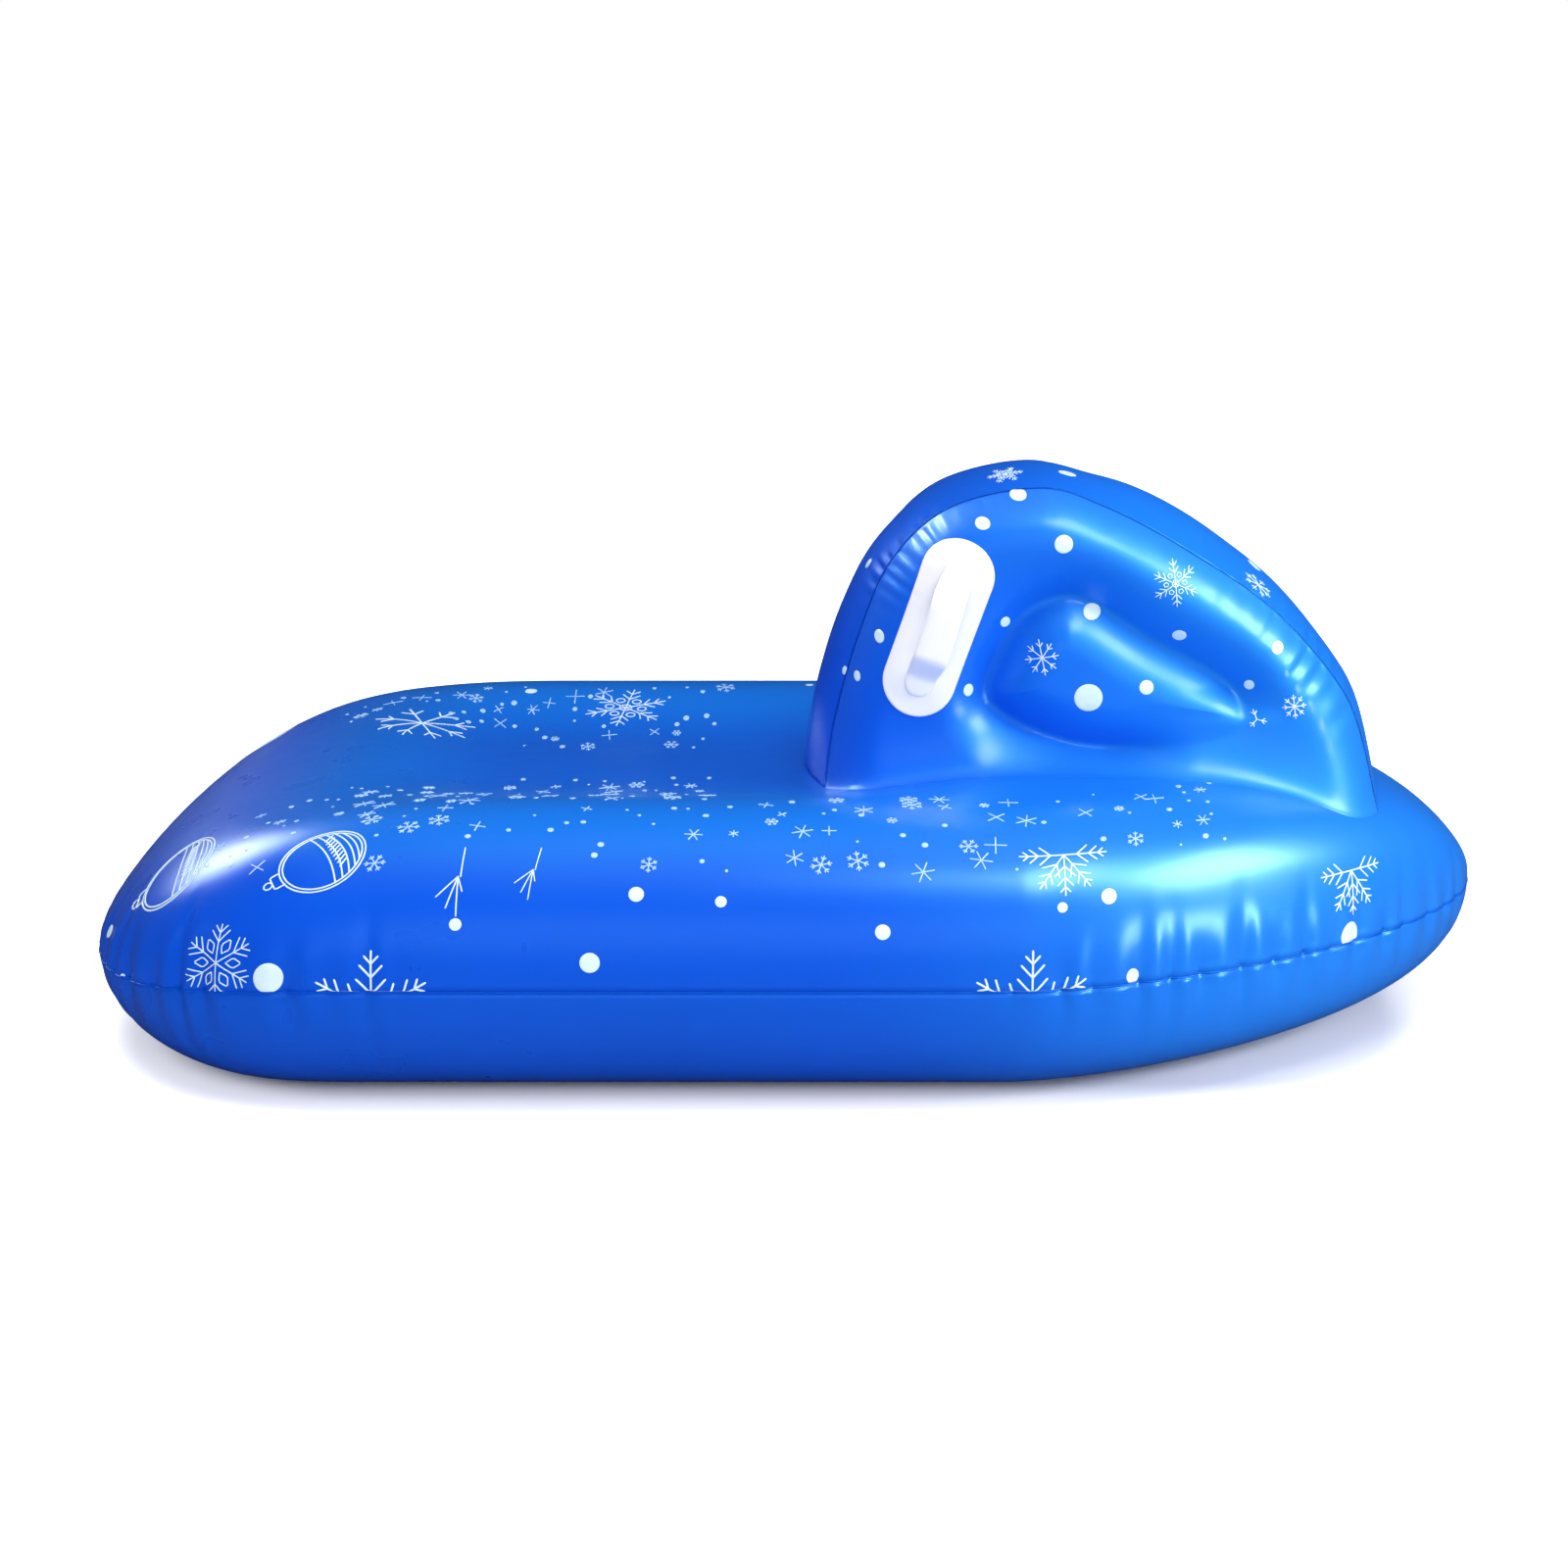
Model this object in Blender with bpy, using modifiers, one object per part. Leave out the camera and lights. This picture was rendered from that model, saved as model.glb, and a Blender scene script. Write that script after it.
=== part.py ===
"""Inflatable snow sled with a raised hood and two side handles.

The sled lies along X with the bow at +X, its right side at -Y and the ground at Z = 0.
The base is two sheets welded round their rim and held flat by inner baffles. The hood is
two side panels joined by a band, with an inner tie that draws a pillow into each side.
"""
import math

import bmesh
import bpy
import numpy as np
from mathutils import Matrix, Vector
from mathutils.bvhtree import BVHTree

# Overall base
SLED_LENGTH = 1.200
BASE_WIDTH = 0.648
REAR_ROUND_LENGTH = 0.244
BOW_LENGTH = 0.420
REAR_SHAPE_SHARES = (2.55, 2.30)
BOW_SHAPE_SHARES = (1.47, 1.62)

# Heights of the base
SEAM_HEIGHT = 0.110
RIM_HEIGHT = 0.230
SIDE_ROUND = 0.100
BOW_TIP_ROUND = 0.066
SEAM_REAR_DIP = 0.031
SEAM_BOW_DIP = 0.004
KEEL_RISE = 0.0195
KEEL_RISE_SHARE = 1.5
REAR_DROP = 0.101
REAR_DROP_LENGTH = 0.400
REAR_DROP_SHARE = 2.75
BOW_DROP = 0.046
BOW_DROP_SHARE = 3.0
DISH_DEPTH = 0.022
DISH_REAR = 0.200
DISH_EASE = 0.160

# Sheet and running gaps
FILM = 0.0006
TOUCH_GAP = 0.0003
FLANGE_WIDTH = 0.008

# Base baffles
BAFFLE_SPACING = 0.120
BAFFLE_START = 0.250
BAFFLE_BOW_MARGIN = 0.350
BAFFLE_END = SLED_LENGTH - BAFFLE_BOW_MARGIN
BAFFLE_FLANGE = 0.012
BAFFLE_GAP = 0.0006
BAFFLE_STATIONS = 15

# Hood, seen from the side
HOOD_LENGTH = 0.467
HOOD_RISE = 0.2385
HOOD_BOW_MARGIN = 0.105
HOOD_FOOT_SINK = 0.005
HOOD_REAR = SLED_LENGTH - HOOD_BOW_MARGIN - HOOD_LENGTH
HOOD_FOOT = RIM_HEIGHT - HOOD_FOOT_SINK
HOOD_TOP = HOOD_FOOT + HOOD_RISE
FOOT_BLEND = 0.070
DISH_UNDER_HOOD = 0.152
DISH_FRONT = HOOD_REAR + DISH_UNDER_HOOD
HOOD_OUTLINE_SHARES = (
    (0.000, 0.000), (0.019, 0.189), (0.065, 0.503), (0.121, 0.751), (0.220, 0.929), (0.381, 1.000),
    (0.497, 0.935), (0.632, 0.799), (0.802, 0.577), (0.934, 0.287), (1.000, 0.000),
)
PILLOW_OUTLINE_SHARES = (
    (0.392, 0.608), (0.465, 0.616), (0.578, 0.482), (0.728, 0.310), (0.722, 0.155), (0.533, 0.084),
    (0.396, 0.130), (0.296, 0.268), (0.334, 0.503),
)
PILLOW_CORE_SHARES = ((0.42, 0.35), (0.62, 0.27))
PILLOW_FADE_SHARES = ((0.50, 0.67), (0.32, 0.19))
TIE_OPEN_SHARES = (0.46, 0.58)
TIE_STATIONS = 28
TIE_GAP = 0.0006

# Hood, across
BAND_WIDTH_REAR = 0.132
BAND_WIDTH_FRONT = 0.168
BAND_BULGE = 0.020
BAND_BULGE_SHARES = (
    0.86, 0.88, 0.86, 0.70, 0.38, 0.27, 0.27, 0.42, 0.82, 0.95, 0.82, 0.72, 0.62, 0.64, 0.62,
)
PANEL_BULGE = 0.036
PANEL_ROUND = 0.052
PANEL_ROUND_SHARE = 2.9
CREASE_DEPTH = 0.026
CREASE_OUTSIDE = 0.044
CREASE_INSIDE = 0.040
CREASE_FADE_SHARE = 0.8
FOOT_FLARE = 0.016
FLARE_HEIGHT = 0.034
FOOT_GAP = 0.0009

# Handles
SHOULDER_SHARE = 0.165
HANDLE_SET_IN = 0.0165
HANDLE_RISE_SHARE = 0.53
HANDLE_X = HOOD_REAR + SHOULDER_SHARE * HOOD_LENGTH + HANDLE_SET_IN
HANDLE_Z = HOOD_FOOT + HANDLE_RISE_SHARE * HOOD_RISE
HANDLE_TILT_DEG = 19.0
PATCH_LENGTH = 0.154
PATCH_WIDTH = 0.0605
PATCH_THICK = 0.0016
PATCH_GAP = 0.0006
PATCH_REST = 0.0055
GRIP_GAP = 0.0009
GRIP_LENGTH = 0.118
GRIP_WIDTH = 0.026
GRIP_THICK = 0.0065
GRIP_LIFT = 0.018
GRIP_PAD = 0.014
GRIP_TOP_RUN = 0.040

# Valves, which lie on the left side
BASE_VALVE_X = 0.190
BASE_VALVE_RISE = 0.024
BASE_VALVE_Z = SEAM_HEIGHT + BASE_VALVE_RISE
HOOD_VALVE_SHARES = (0.85, 0.25)
HOOD_VALVE_X = HOOD_REAR + HOOD_VALVE_SHARES[0] * HOOD_LENGTH
HOOD_VALVE_Z = HOOD_FOOT + HOOD_VALVE_SHARES[1] * HOOD_RISE
VALVE_BORE_R = 0.0043
VALVE_STEM_WALL = 0.0024
VALVE_STEM_DEPTH = 0.0170
VALVE_NECK_WALL = 0.0012
VALVE_NECK_DEPTH = 0.0050
VALVE_FLANGE_R = 0.0160
VALVE_FLANGE_THICK = 0.0010
VALVE_COLLAR_R = 0.0100
VALVE_COLLAR_THICK = 0.0012
VALVE_LIP_R = 0.0078
VALVE_LIP_THICK = 0.0010
PLUG_DISC_R = 0.0080
PLUG_DISC_THICK = 0.0015
PLUG_PIN_DEPTH = 0.0052
PLUG_PIN_TIP_R = 0.0030
PLUG_HINGE_R = 0.0123
PLUG_TAB_WIDTH = 0.0050
EAR_OVERRUN = 0.0010
FLAP_R = 0.0056
FLAP_THICK = 0.0006
RUN_GAP = 0.0003
HOLE_GAP = 0.0004
CUT_OVERRUN = 0.0040

# How finely the curved sheets are divided
BASE_COLUMNS = 40
HOOD_COLUMNS = 38
FOOT_COLUMNS = 20
PATCH_COLUMNS = 36
BAND_ROWS = 5
SPLINE_STEPS = 160
ROUND_SEGMENTS = 16

FILM_BLUE = (0.005, 0.144, 0.880, 1.0)
BOTTOM_BLUE = (0.007, 0.072, 0.604, 1.0)
INNER_BLUE = (0.060, 0.250, 0.800, 1.0)
HANDLE_WHITE = (0.93, 0.93, 0.95, 1.0)
VALVE_CLEAR = (0.70, 0.78, 0.85, 1.0)


def clear_scene():
    for thing in list(bpy.data.objects):
        bpy.data.objects.remove(thing, do_unlink=True)


def make_collection(name):
    group = bpy.data.collections.new(name)
    bpy.context.scene.collection.children.link(group)
    return group


def make_material(name, colour, roughness):
    material = bpy.data.materials.new(name)
    material.use_nodes = True
    shader = material.node_tree.nodes["Principled BSDF"]
    shader.inputs["Base Color"].default_value = colour
    shader.inputs["Roughness"].default_value = roughness
    shader.inputs["Metallic"].default_value = 0.0
    material.diffuse_color = colour
    return material


def smooth(t):
    """Ease from 0 to 1 with level ends."""
    t = np.clip(t, 0.0, 1.0)
    return t * t * (3.0 - 2.0 * t)


def round_over(t):
    """Quarter circle: upright at 0, level from 1 on."""
    t = np.clip(t, 0.0, 1.0)
    return np.sqrt(1.0 - (1.0 - t) ** 2)


def spline(points, steps, closed=False):
    """Catmull-Rom curve through the points, evenly spaced along its length."""
    p = np.array(points, float)
    if closed:
        p = np.vstack([p[-1], p, p[0], p[1]])
    else:
        p = np.vstack([2 * p[0] - p[1], p, 2 * p[-1] - p[-2]])
    t = np.linspace(0.0, 1.0, 24, endpoint=False)[:, None]
    pieces = []
    for a, b, c, d in zip(p[:-3], p[1:-2], p[2:-1], p[3:]):
        pieces.append(0.5 * (2 * b + (c - a) * t + (2 * a - 5 * b + 4 * c - d) * t ** 2
                             + (3 * b - a - 3 * c + d) * t ** 3))
    pieces.append(p[-2][None, :])
    return even_spacing(np.vstack(pieces), steps)


def even_spacing(line, count):
    """The same polyline with its points spaced evenly."""
    run = np.concatenate([[0.0], np.cumsum(np.linalg.norm(np.diff(line, axis=0), axis=1))])
    at = np.linspace(0.0, run[-1], count)
    return np.stack([np.interp(at, run, line[:, k]) for k in range(line.shape[1])], axis=1)


def distance_to(points, line):
    """Shortest distance from each point to a polyline."""
    p = np.asarray(points, float).reshape(-1, 1, 2)
    a, b = line[None, :-1], line[None, 1:]
    along = b - a
    t = np.clip(((p - a) * along).sum(2) / (along ** 2).sum(2), 0.0, 1.0)
    gap = p - (a + along * t[..., None])
    return np.sqrt((gap ** 2).sum(2)).min(1)


def inside(points, line):
    """True for each point that lies inside a closed polyline."""
    p = np.asarray(points, float).reshape(-1, 1, 2)
    a, b = line[None, :-1], line[None, 1:]
    straddles = (a[..., 1] > p[..., 1]) != (b[..., 1] > p[..., 1])
    rise = np.where(straddles, b[..., 1] - a[..., 1], 1.0)
    crossing = a[..., 0] + (p[..., 1] - a[..., 1]) * (b[..., 0] - a[..., 0]) / rise
    return (straddles & (p[..., 0] < crossing)).sum(1) % 2 == 1


def half_outline(count):
    """Plan of one side of the base, from the middle of the rear to the tip of the bow."""
    turn = np.linspace(0.0, math.pi / 2, 90)
    rear_x, rear_y = REAR_SHAPE_SHARES
    bow_x, bow_y = BOW_SHAPE_SHARES
    half = BASE_WIDTH / 2
    rear = np.stack([REAR_ROUND_LENGTH * (1 - np.cos(turn) ** (2 / rear_x)),
                     half * np.sin(turn) ** (2 / rear_y)], axis=1)
    bow = np.stack([SLED_LENGTH - BOW_LENGTH * (1 - np.sin(turn) ** (2 / bow_x)),
                    half * np.abs(np.cos(turn)) ** (2 / bow_y)], axis=1)
    rear[0] = (0.0, 0.0)
    bow[-1] = (SLED_LENGTH, 0.0)
    return even_spacing(np.vstack([rear, bow]), count)


OUTLINE = half_outline(2 * SPLINE_STEPS)


def bow_share(x):
    return np.clip((x - SLED_LENGTH + BOW_LENGTH) / BOW_LENGTH, 0.0, 1.0)


def seam_height(x):
    """Height of the weld round the base, which dips a little at both ends."""
    rear = np.clip(1 - x / REAR_ROUND_LENGTH, 0.0, 1.0)
    return SEAM_HEIGHT - SEAM_REAR_DIP * rear ** 2 - SEAM_BOW_DIP * bow_share(x) ** 2


def rim_height(x):
    """Height of the side rims, which fall away to the rear end and the bow."""
    rear = np.clip(1 - x / REAR_DROP_LENGTH, 0.0, 1.0)
    return RIM_HEIGHT - REAR_DROP * rear ** REAR_DROP_SHARE - BOW_DROP * bow_share(x) ** BOW_DROP_SHARE


def crowned_inset(x, y):
    """Inset from the outline, eased so that it is level along the middle line."""
    x, y = np.broadcast_arrays(np.asarray(x, float), np.abs(np.asarray(y, float)))
    inset = distance_to(np.stack([x.ravel(), y.ravel()], axis=1), OUTLINE).reshape(x.shape)
    middle = np.maximum(x, SLED_LENGTH / 2)
    reach = distance_to(np.stack([middle.ravel(), np.zeros(x.size)], axis=1), OUTLINE).reshape(x.shape)
    return inset * (1 - np.minimum(inset / np.maximum(reach, TOUCH_GAP), 1.0) / 2)


def wall_round(x, y):
    """Share of full height at a place on the base: 0 on the seam, 1 past the rounded wall."""
    reach = SIDE_ROUND + (BOW_TIP_ROUND - SIDE_ROUND) * bow_share(x)
    return round_over(crowned_inset(x, y) / reach)


def deck_height(x, y):
    """Height of the top sheet. Between the side rims the seat is a shallow dish."""
    x = np.asarray(x, float)
    hollow = smooth((crowned_inset(x, y) - SIDE_ROUND) / (BASE_WIDTH / 4 - SIDE_ROUND))
    along = smooth((x - DISH_REAR) / DISH_EASE) * smooth((DISH_FRONT - x) / DISH_EASE)
    full = seam_height(x) + (rim_height(x) - seam_height(x)) * wall_round(x, y)
    return full - DISH_DEPTH * hollow * along


def keel_height(x, y):
    """Height of the bottom sheet: flat on the ground, lifting a little under the bow."""
    x = np.asarray(x, float)
    low = KEEL_RISE * bow_share(x) ** KEEL_RISE_SHARE
    return seam_height(x) - (seam_height(x) - low) * wall_round(x, y)


def hood_point(shares):
    """Side-view place of hood shares, before the foot is fitted to the deck."""
    s = np.asarray(shares, float)
    return np.stack([HOOD_REAR + HOOD_LENGTH * s[..., 0],
                     HOOD_FOOT + (HOOD_TOP - HOOD_FOOT) * s[..., 1]], axis=-1)


HOOD_ARCH = hood_point(spline(HOOD_OUTLINE_SHARES, SPLINE_STEPS))
PILLOW_LOOP = hood_point(spline(PILLOW_OUTLINE_SHARES, SPLINE_STEPS, closed=True))


def half_band(x):
    """Half the width of the hood's band at a place along the sled."""
    share = np.clip((x - HOOD_REAR) / HOOD_LENGTH, 0.0, 1.0)
    return (BAND_WIDTH_REAR + (BAND_WIDTH_FRONT - BAND_WIDTH_REAR) * share) / 2


def foot_flare(z):
    return FOOT_FLARE * np.clip(1 - (z - HOOD_FOOT) / FLARE_HEIGHT, 0.0, 1.0) ** 2


def panel_reach(x, z):
    """How far a hood panel stands out from the middle plane at a side-view place.

    It swells from the seam, is drawn in along the pillow's crease and flares at the foot.
    The crease fades at the front lower corner of the pillow.
    """
    x, z = np.broadcast_arrays(np.asarray(x, float), np.asarray(z, float))
    places = np.stack([x.ravel(), z.ravel()], axis=1)
    in_from_seam = distance_to(places, HOOD_ARCH).reshape(x.shape)
    swell = 1 - (1 - np.clip(in_from_seam / PANEL_ROUND, 0.0, 1.0)) ** PANEL_ROUND_SHARE
    to_crease = distance_to(places, PILLOW_LOOP).reshape(x.shape)
    spread = np.where(inside(places, PILLOW_LOOP).reshape(x.shape), CREASE_INSIDE, CREASE_OUTSIDE)
    draw = np.clip(1 - to_crease / spread, 0.0, 1.0) ** 2
    (x0, x1), (z0, z1) = PILLOW_FADE_SHARES
    share_x = (x - HOOD_REAR) / HOOD_LENGTH
    share_z = (z - HOOD_FOOT) / (HOOD_TOP - HOOD_FOOT)
    fade = smooth((share_x - x0) / (x1 - x0)) * smooth((share_z - z0) / (z1 - z0))
    draw = draw * (1 - CREASE_FADE_SHARE * fade)
    return half_band(x) + swell * (PANEL_BULGE + foot_flare(z)) - CREASE_DEPTH * draw


def fit_to_deck(x, y, z):
    """Hood height with its foot shifted to lie on the deck."""
    rise = np.clip((z - HOOD_FOOT) / FOOT_BLEND, 0.0, 1.0)
    return z + (deck_height(x, y) + FOOT_GAP - HOOD_FOOT) * (1 - rise) ** 2


def panel_point(x, z, side, out=0.0):
    """World place on a hood panel, or out from it. Side is -1 on the right, 1 on the left."""
    y = panel_reach(x, z)
    return np.stack([x + 0 * y, side * (y + out), fit_to_deck(x, y, z)], axis=-1)


def grid_mesh(name, rows, wrap=False):
    """Quads over a grid of points, given as rows of equal length."""
    rows = np.asarray(rows, float)
    count = rows.shape[1]
    verts = [tuple(p) for p in rows.reshape(-1, 3)]
    faces = []
    for r in range(rows.shape[0] - 1):
        for c in range(count if wrap else count - 1):
            d = (c + 1) % count
            faces.append((r * count + c, r * count + d, (r + 1) * count + d, (r + 1) * count + c))
    mesh = bpy.data.meshes.new(name)
    mesh.from_pydata(verts, [], faces)
    clean_mesh(mesh)
    return mesh


def clean_mesh(mesh):
    """Merge points that coincide, so that collapsed quads become triangles."""
    bm = bmesh.new()
    bm.from_mesh(mesh)
    bmesh.ops.remove_doubles(bm, verts=bm.verts, dist=TOUCH_GAP / 10)
    bm.to_mesh(mesh)
    bm.free()


def loft_mesh(name, rings):
    """A closed solid through a row of equal rings, with flat ends."""
    rings = np.asarray(rings, float)
    count = rings.shape[1]
    mesh = grid_mesh(name, rings, wrap=True)
    bm = bmesh.new()
    bm.from_mesh(mesh)
    bm.verts.ensure_lookup_table()
    bm.faces.new(bm.verts[:count])
    bm.faces.new(bm.verts[-count:])
    bmesh.ops.recalc_face_normals(bm, faces=bm.faces)
    bm.to_mesh(mesh)
    bm.free()
    return mesh


def add_object(name, mesh, group, material):
    thing = bpy.data.objects.new(name, mesh)
    group.objects.link(thing)
    mesh.materials.append(material)
    mesh.shade_smooth()
    mesh.set_sharp_from_angle(angle=math.radians(40))
    return thing


def face_outward(mesh, towards):
    """Turn an open sheet so that its first face looks the given way."""
    face = max(mesh.polygons, key=lambda f: f.area)
    if face.normal.dot(Vector(towards)) < 0:
        mesh.flip_normals()


def thicken(thing, thickness):
    """Give an open sheet its thickness, inward from the face that shows."""
    shell = thing.modifiers.new("thickness", "SOLIDIFY")
    shell.thickness = thickness
    shell.offset = -1.0
    shell.use_even_offset = True


def mirror_across(thing):
    mirror = thing.modifiers.new("other_half", "MIRROR")
    mirror.use_axis = (False, True, False)
    mirror.merge_threshold = TOUCH_GAP / 10


def base_panel(name, height, up, inner_rows, group, material):
    """One sheet of the base, with its weld flange turned in at the seam."""
    edge = even_spacing(OUTLINE, BASE_COLUMNS)
    stops = (0.0, DISH_REAR + DISH_EASE, SLED_LENGTH - BOW_LENGTH, SLED_LENGTH)
    spine_x = np.interp(edge[:, 0], stops, (REAR_ROUND_LENGTH, stops[1], stops[2],
                                            SLED_LENGTH - SIDE_ROUND / 2))
    spine = np.stack([spine_x, 0 * spine_x], axis=1)
    inward = spine - edge
    length = np.linalg.norm(inward, axis=1, keepdims=True)
    unit = inward / length
    turn = np.linspace(0.0, math.pi / 2, 6)[1:]
    reach = np.minimum(SIDE_ROUND * 1.15, length * 0.75)
    inset_rows = [reach * (1 - math.cos(a)) for a in turn]
    for share in np.linspace(0.0, 1.0, inner_rows + 1)[1:]:
        inset_rows.append(reach + (length - reach) * share)
    lift = up * TOUCH_GAP / 2
    seam = seam_height(edge[:, 0]) + lift
    lip = edge + unit * np.minimum(FLANGE_WIDTH, length / 2)
    rows = [np.column_stack([lip, seam]), np.column_stack([edge, seam])]
    for inset in inset_rows:
        place = edge + unit * inset
        z = height(place[:, 0], place[:, 1])
        z = np.maximum(z, seam) if up > 0 else np.minimum(z, seam)
        rows.append(np.column_stack([place, z]))
    mesh = grid_mesh(name, rows)
    face_outward(mesh, (0.0, 0.0, up))
    thing = add_object(name, mesh, group, material)
    mirror_across(thing)
    thicken(thing, FILM)
    return thing


def sheet_probe(thing):
    """Searchable copy of a finished sheet, with its thickness."""
    bpy.context.view_layer.update()
    return BVHTree.FromObject(thing, bpy.context.evaluated_depsgraph_get())


def inner_clearance(probe, x, y, up, reach):
    """Least distance up or down from seam level to a sheet, within a reach along the sled."""
    hits = [probe.ray_cast(Vector((x + shift, y, SEAM_HEIGHT)), Vector((0.0, 0.0, up)))[0].z
            for shift in np.linspace(-reach, reach, 5)]
    return min(up * (z - SEAM_HEIGHT) for z in hits)


def base_baffle(name, y, sheets, group, material):
    """An upright strip with a flange along each edge, between the two base sheets."""
    top_sheet, low_sheet = sheets
    rings = []
    half_web = FILM / 2
    half_flange = BAFFLE_FLANGE / 2
    across = np.array([-half_flange, -half_web, half_web, half_flange]) + y
    reach = (BAFFLE_END - BAFFLE_START) / BAFFLE_STATIONS / 2
    high = SEAM_HEIGHT - BAFFLE_GAP
    deep = SEAM_HEIGHT + BAFFLE_GAP
    for x in np.linspace(BAFFLE_START, BAFFLE_END, BAFFLE_STATIONS):
        top = [high + inner_clearance(top_sheet, x, place, 1.0, reach) for place in across]
        low = [deep - inner_clearance(low_sheet, x, place, -1.0, reach) for place in across]
        ring = [(x, across[0], top[0]), (x, across[0], top[0] - FILM), (x, across[1], top[1] - FILM),
                (x, across[1], low[1] + FILM), (x, across[0], low[0] + FILM), (x, across[0], low[0]),
                (x, across[3], low[3]), (x, across[3], low[3] + FILM), (x, across[2], low[2] + FILM),
                (x, across[2], top[2] - FILM), (x, across[3], top[3] - FILM), (x, across[3], top[3])]
        rings.append(ring)
    return add_object(name, loft_mesh(name, rings), group, material)


def seat_foot(mesh, deck):
    """Lift what lies nearer the deck than the foot's gap, so that the foot rests on it."""
    for vertex in mesh.vertices:
        hit = deck.ray_cast(vertex.co + Vector((0.0, 0.0, SEAM_HEIGHT)), Vector((0.0, 0.0, -1.0)))
        vertex.co.z = max(vertex.co.z, hit[0].z + FOOT_GAP)


def arch_stations():
    """Side-view places along the hood's seam, from the rear foot to the front foot."""
    return even_spacing(HOOD_ARCH, HOOD_COLUMNS)


def hood_panel(name, side, deck, group, material):
    """One side of the hood: rings from its edge to the crease, then on to the pillow's core."""
    arch = arch_stations()
    foot = even_spacing(np.array([arch[-1], arch[0]]), FOOT_COLUMNS)[1:-1]
    edge = np.vstack([arch, foot])
    (core_x0, core_z0), (core_x1, core_z1) = PILLOW_CORE_SHARES
    core = hood_point(((core_x0, core_z0), (core_x1, core_z1)))
    along = core[1] - core[0]
    t = np.clip(((edge - core[0]) @ along) / (along @ along), 0.0, 1.0)
    heart = core[0] + along * t[:, None]
    crease = crossing_share(edge, heart)
    rows = []
    for share in (0.0, 0.07, 0.2, 0.42, 0.7, 1.0):
        rows.append(edge + (heart - edge) * (crease * share)[:, None])
    for share in (0.3, 0.65, 1.0):
        rows.append(edge + (heart - edge) * (crease + (1 - crease) * share)[:, None])
    grid = [panel_point(r[:, 0], r[:, 1], side) for r in rows]
    grid[0][:HOOD_COLUMNS, 1] += side * TOUCH_GAP
    mesh = grid_mesh(name, grid, wrap=True)
    seat_foot(mesh, deck)
    face_outward(mesh, (0.0, side, 0.0))
    thing = add_object(name, mesh, group, material)
    thicken(thing, FILM)
    return thing


def crossing_share(start, end):
    """Share of the way from each start to its end at which the pillow's crease is met."""
    shares = np.linspace(0.0, 1.0, 400)
    found = np.zeros(len(start))
    for k, (a, b) in enumerate(zip(start, end)):
        within = inside(a + (b - a) * shares[:, None], PILLOW_LOOP)
        found[k] = shares[int(np.argmax(within))]
    return found


def band_bulge(count):
    """Outward swell of the band at even steps along the hood's seam."""
    table = np.array(BAND_BULGE_SHARES)
    return BAND_BULGE * np.interp(np.linspace(0, 1, count), np.linspace(0, 1, len(table)), table)


def hood_band(name, deck, group, material):
    """The band that runs over the hood from foot to foot, between the two side panels."""
    arch = arch_stations()
    tangent = np.gradient(arch, axis=0)
    tangent /= np.linalg.norm(tangent, axis=1, keepdims=True)
    outward = np.stack([-tangent[:, 1], tangent[:, 0]], axis=1)
    bulge = band_bulge(len(arch)) + foot_flare(arch[:, 1])
    rows = []
    for t in np.linspace(-1.0, 1.0, BAND_ROWS + 1):
        place = arch + outward * (bulge * (1 - t * t))[:, None]
        place[0, 1] = HOOD_FOOT
        place[-1, 1] = HOOD_FOOT
        y = t * (half_band(arch[:, 0]) - TOUCH_GAP)
        z = fit_to_deck(place[:, 0], y, place[:, 1])
        rows.append(np.column_stack([place[:, 0], y, z]))
    mesh = grid_mesh(name, rows)
    seat_foot(mesh, deck)
    face_outward_from(mesh, Vector((HOOD_REAR + HOOD_LENGTH / 2, 0.0, HOOD_FOOT)))
    thing = add_object(name, mesh, group, material)
    thicken(thing, FILM)
    return thing


def face_outward_from(mesh, centre):
    """Turn an open sheet so that it looks away from a point."""
    votes = sum(f.area * f.normal.dot(f.center - centre) for f in mesh.polygons)
    if votes < 0:
        mesh.flip_normals()


def hood_tie(name, panels, group, material):
    """Ribbon between the two hood panels along the crease, open where the crease fades."""
    count = len(PILLOW_LOOP)
    open_from, open_to = (int(count * share) for share in TIE_OPEN_SHARES)
    line = np.vstack([PILLOW_LOOP[open_to:-1], PILLOW_LOOP[:open_from]])
    line = even_spacing(line, TIE_STATIONS)
    tangent = np.gradient(line, axis=0)
    step = np.linalg.norm(tangent, axis=1, keepdims=True)
    normal = np.stack([-tangent[:, 1], tangent[:, 0]], axis=1) / step
    rings = []
    for place, along, out in zip(line, tangent, normal):
        sides = [side_clearance(panel, side, place, along / 2) - TIE_GAP for panel, side in panels]
        inner, outer = place - out * FILM / 2, place + out * FILM / 2
        z = fit_to_deck(place[0], sides[0], place[1]) - place[1]
        rings.append([(inner[0], -sides[0], inner[1] + z), (outer[0], -sides[0], outer[1] + z),
                      (outer[0], sides[1], outer[1] + z), (inner[0], sides[1], inner[1] + z)])
    return add_object(name, loft_mesh(name, rings), group, material)


def side_clearance(panel, side, place, reach):
    """Least distance from the middle plane to a hood panel's inner face, near a place."""
    found = []
    for share in (-1.0, -0.5, 0.0, 0.5, 1.0):
        x, z = place + reach * share
        z = fit_to_deck(x, panel_reach(x, z), z)
        hit = panel.ray_cast(Vector((x, 0.0, float(z))), Vector((0.0, side, 0.0)))
        found.append(abs(hit[0].y))
    return min(found)


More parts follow.
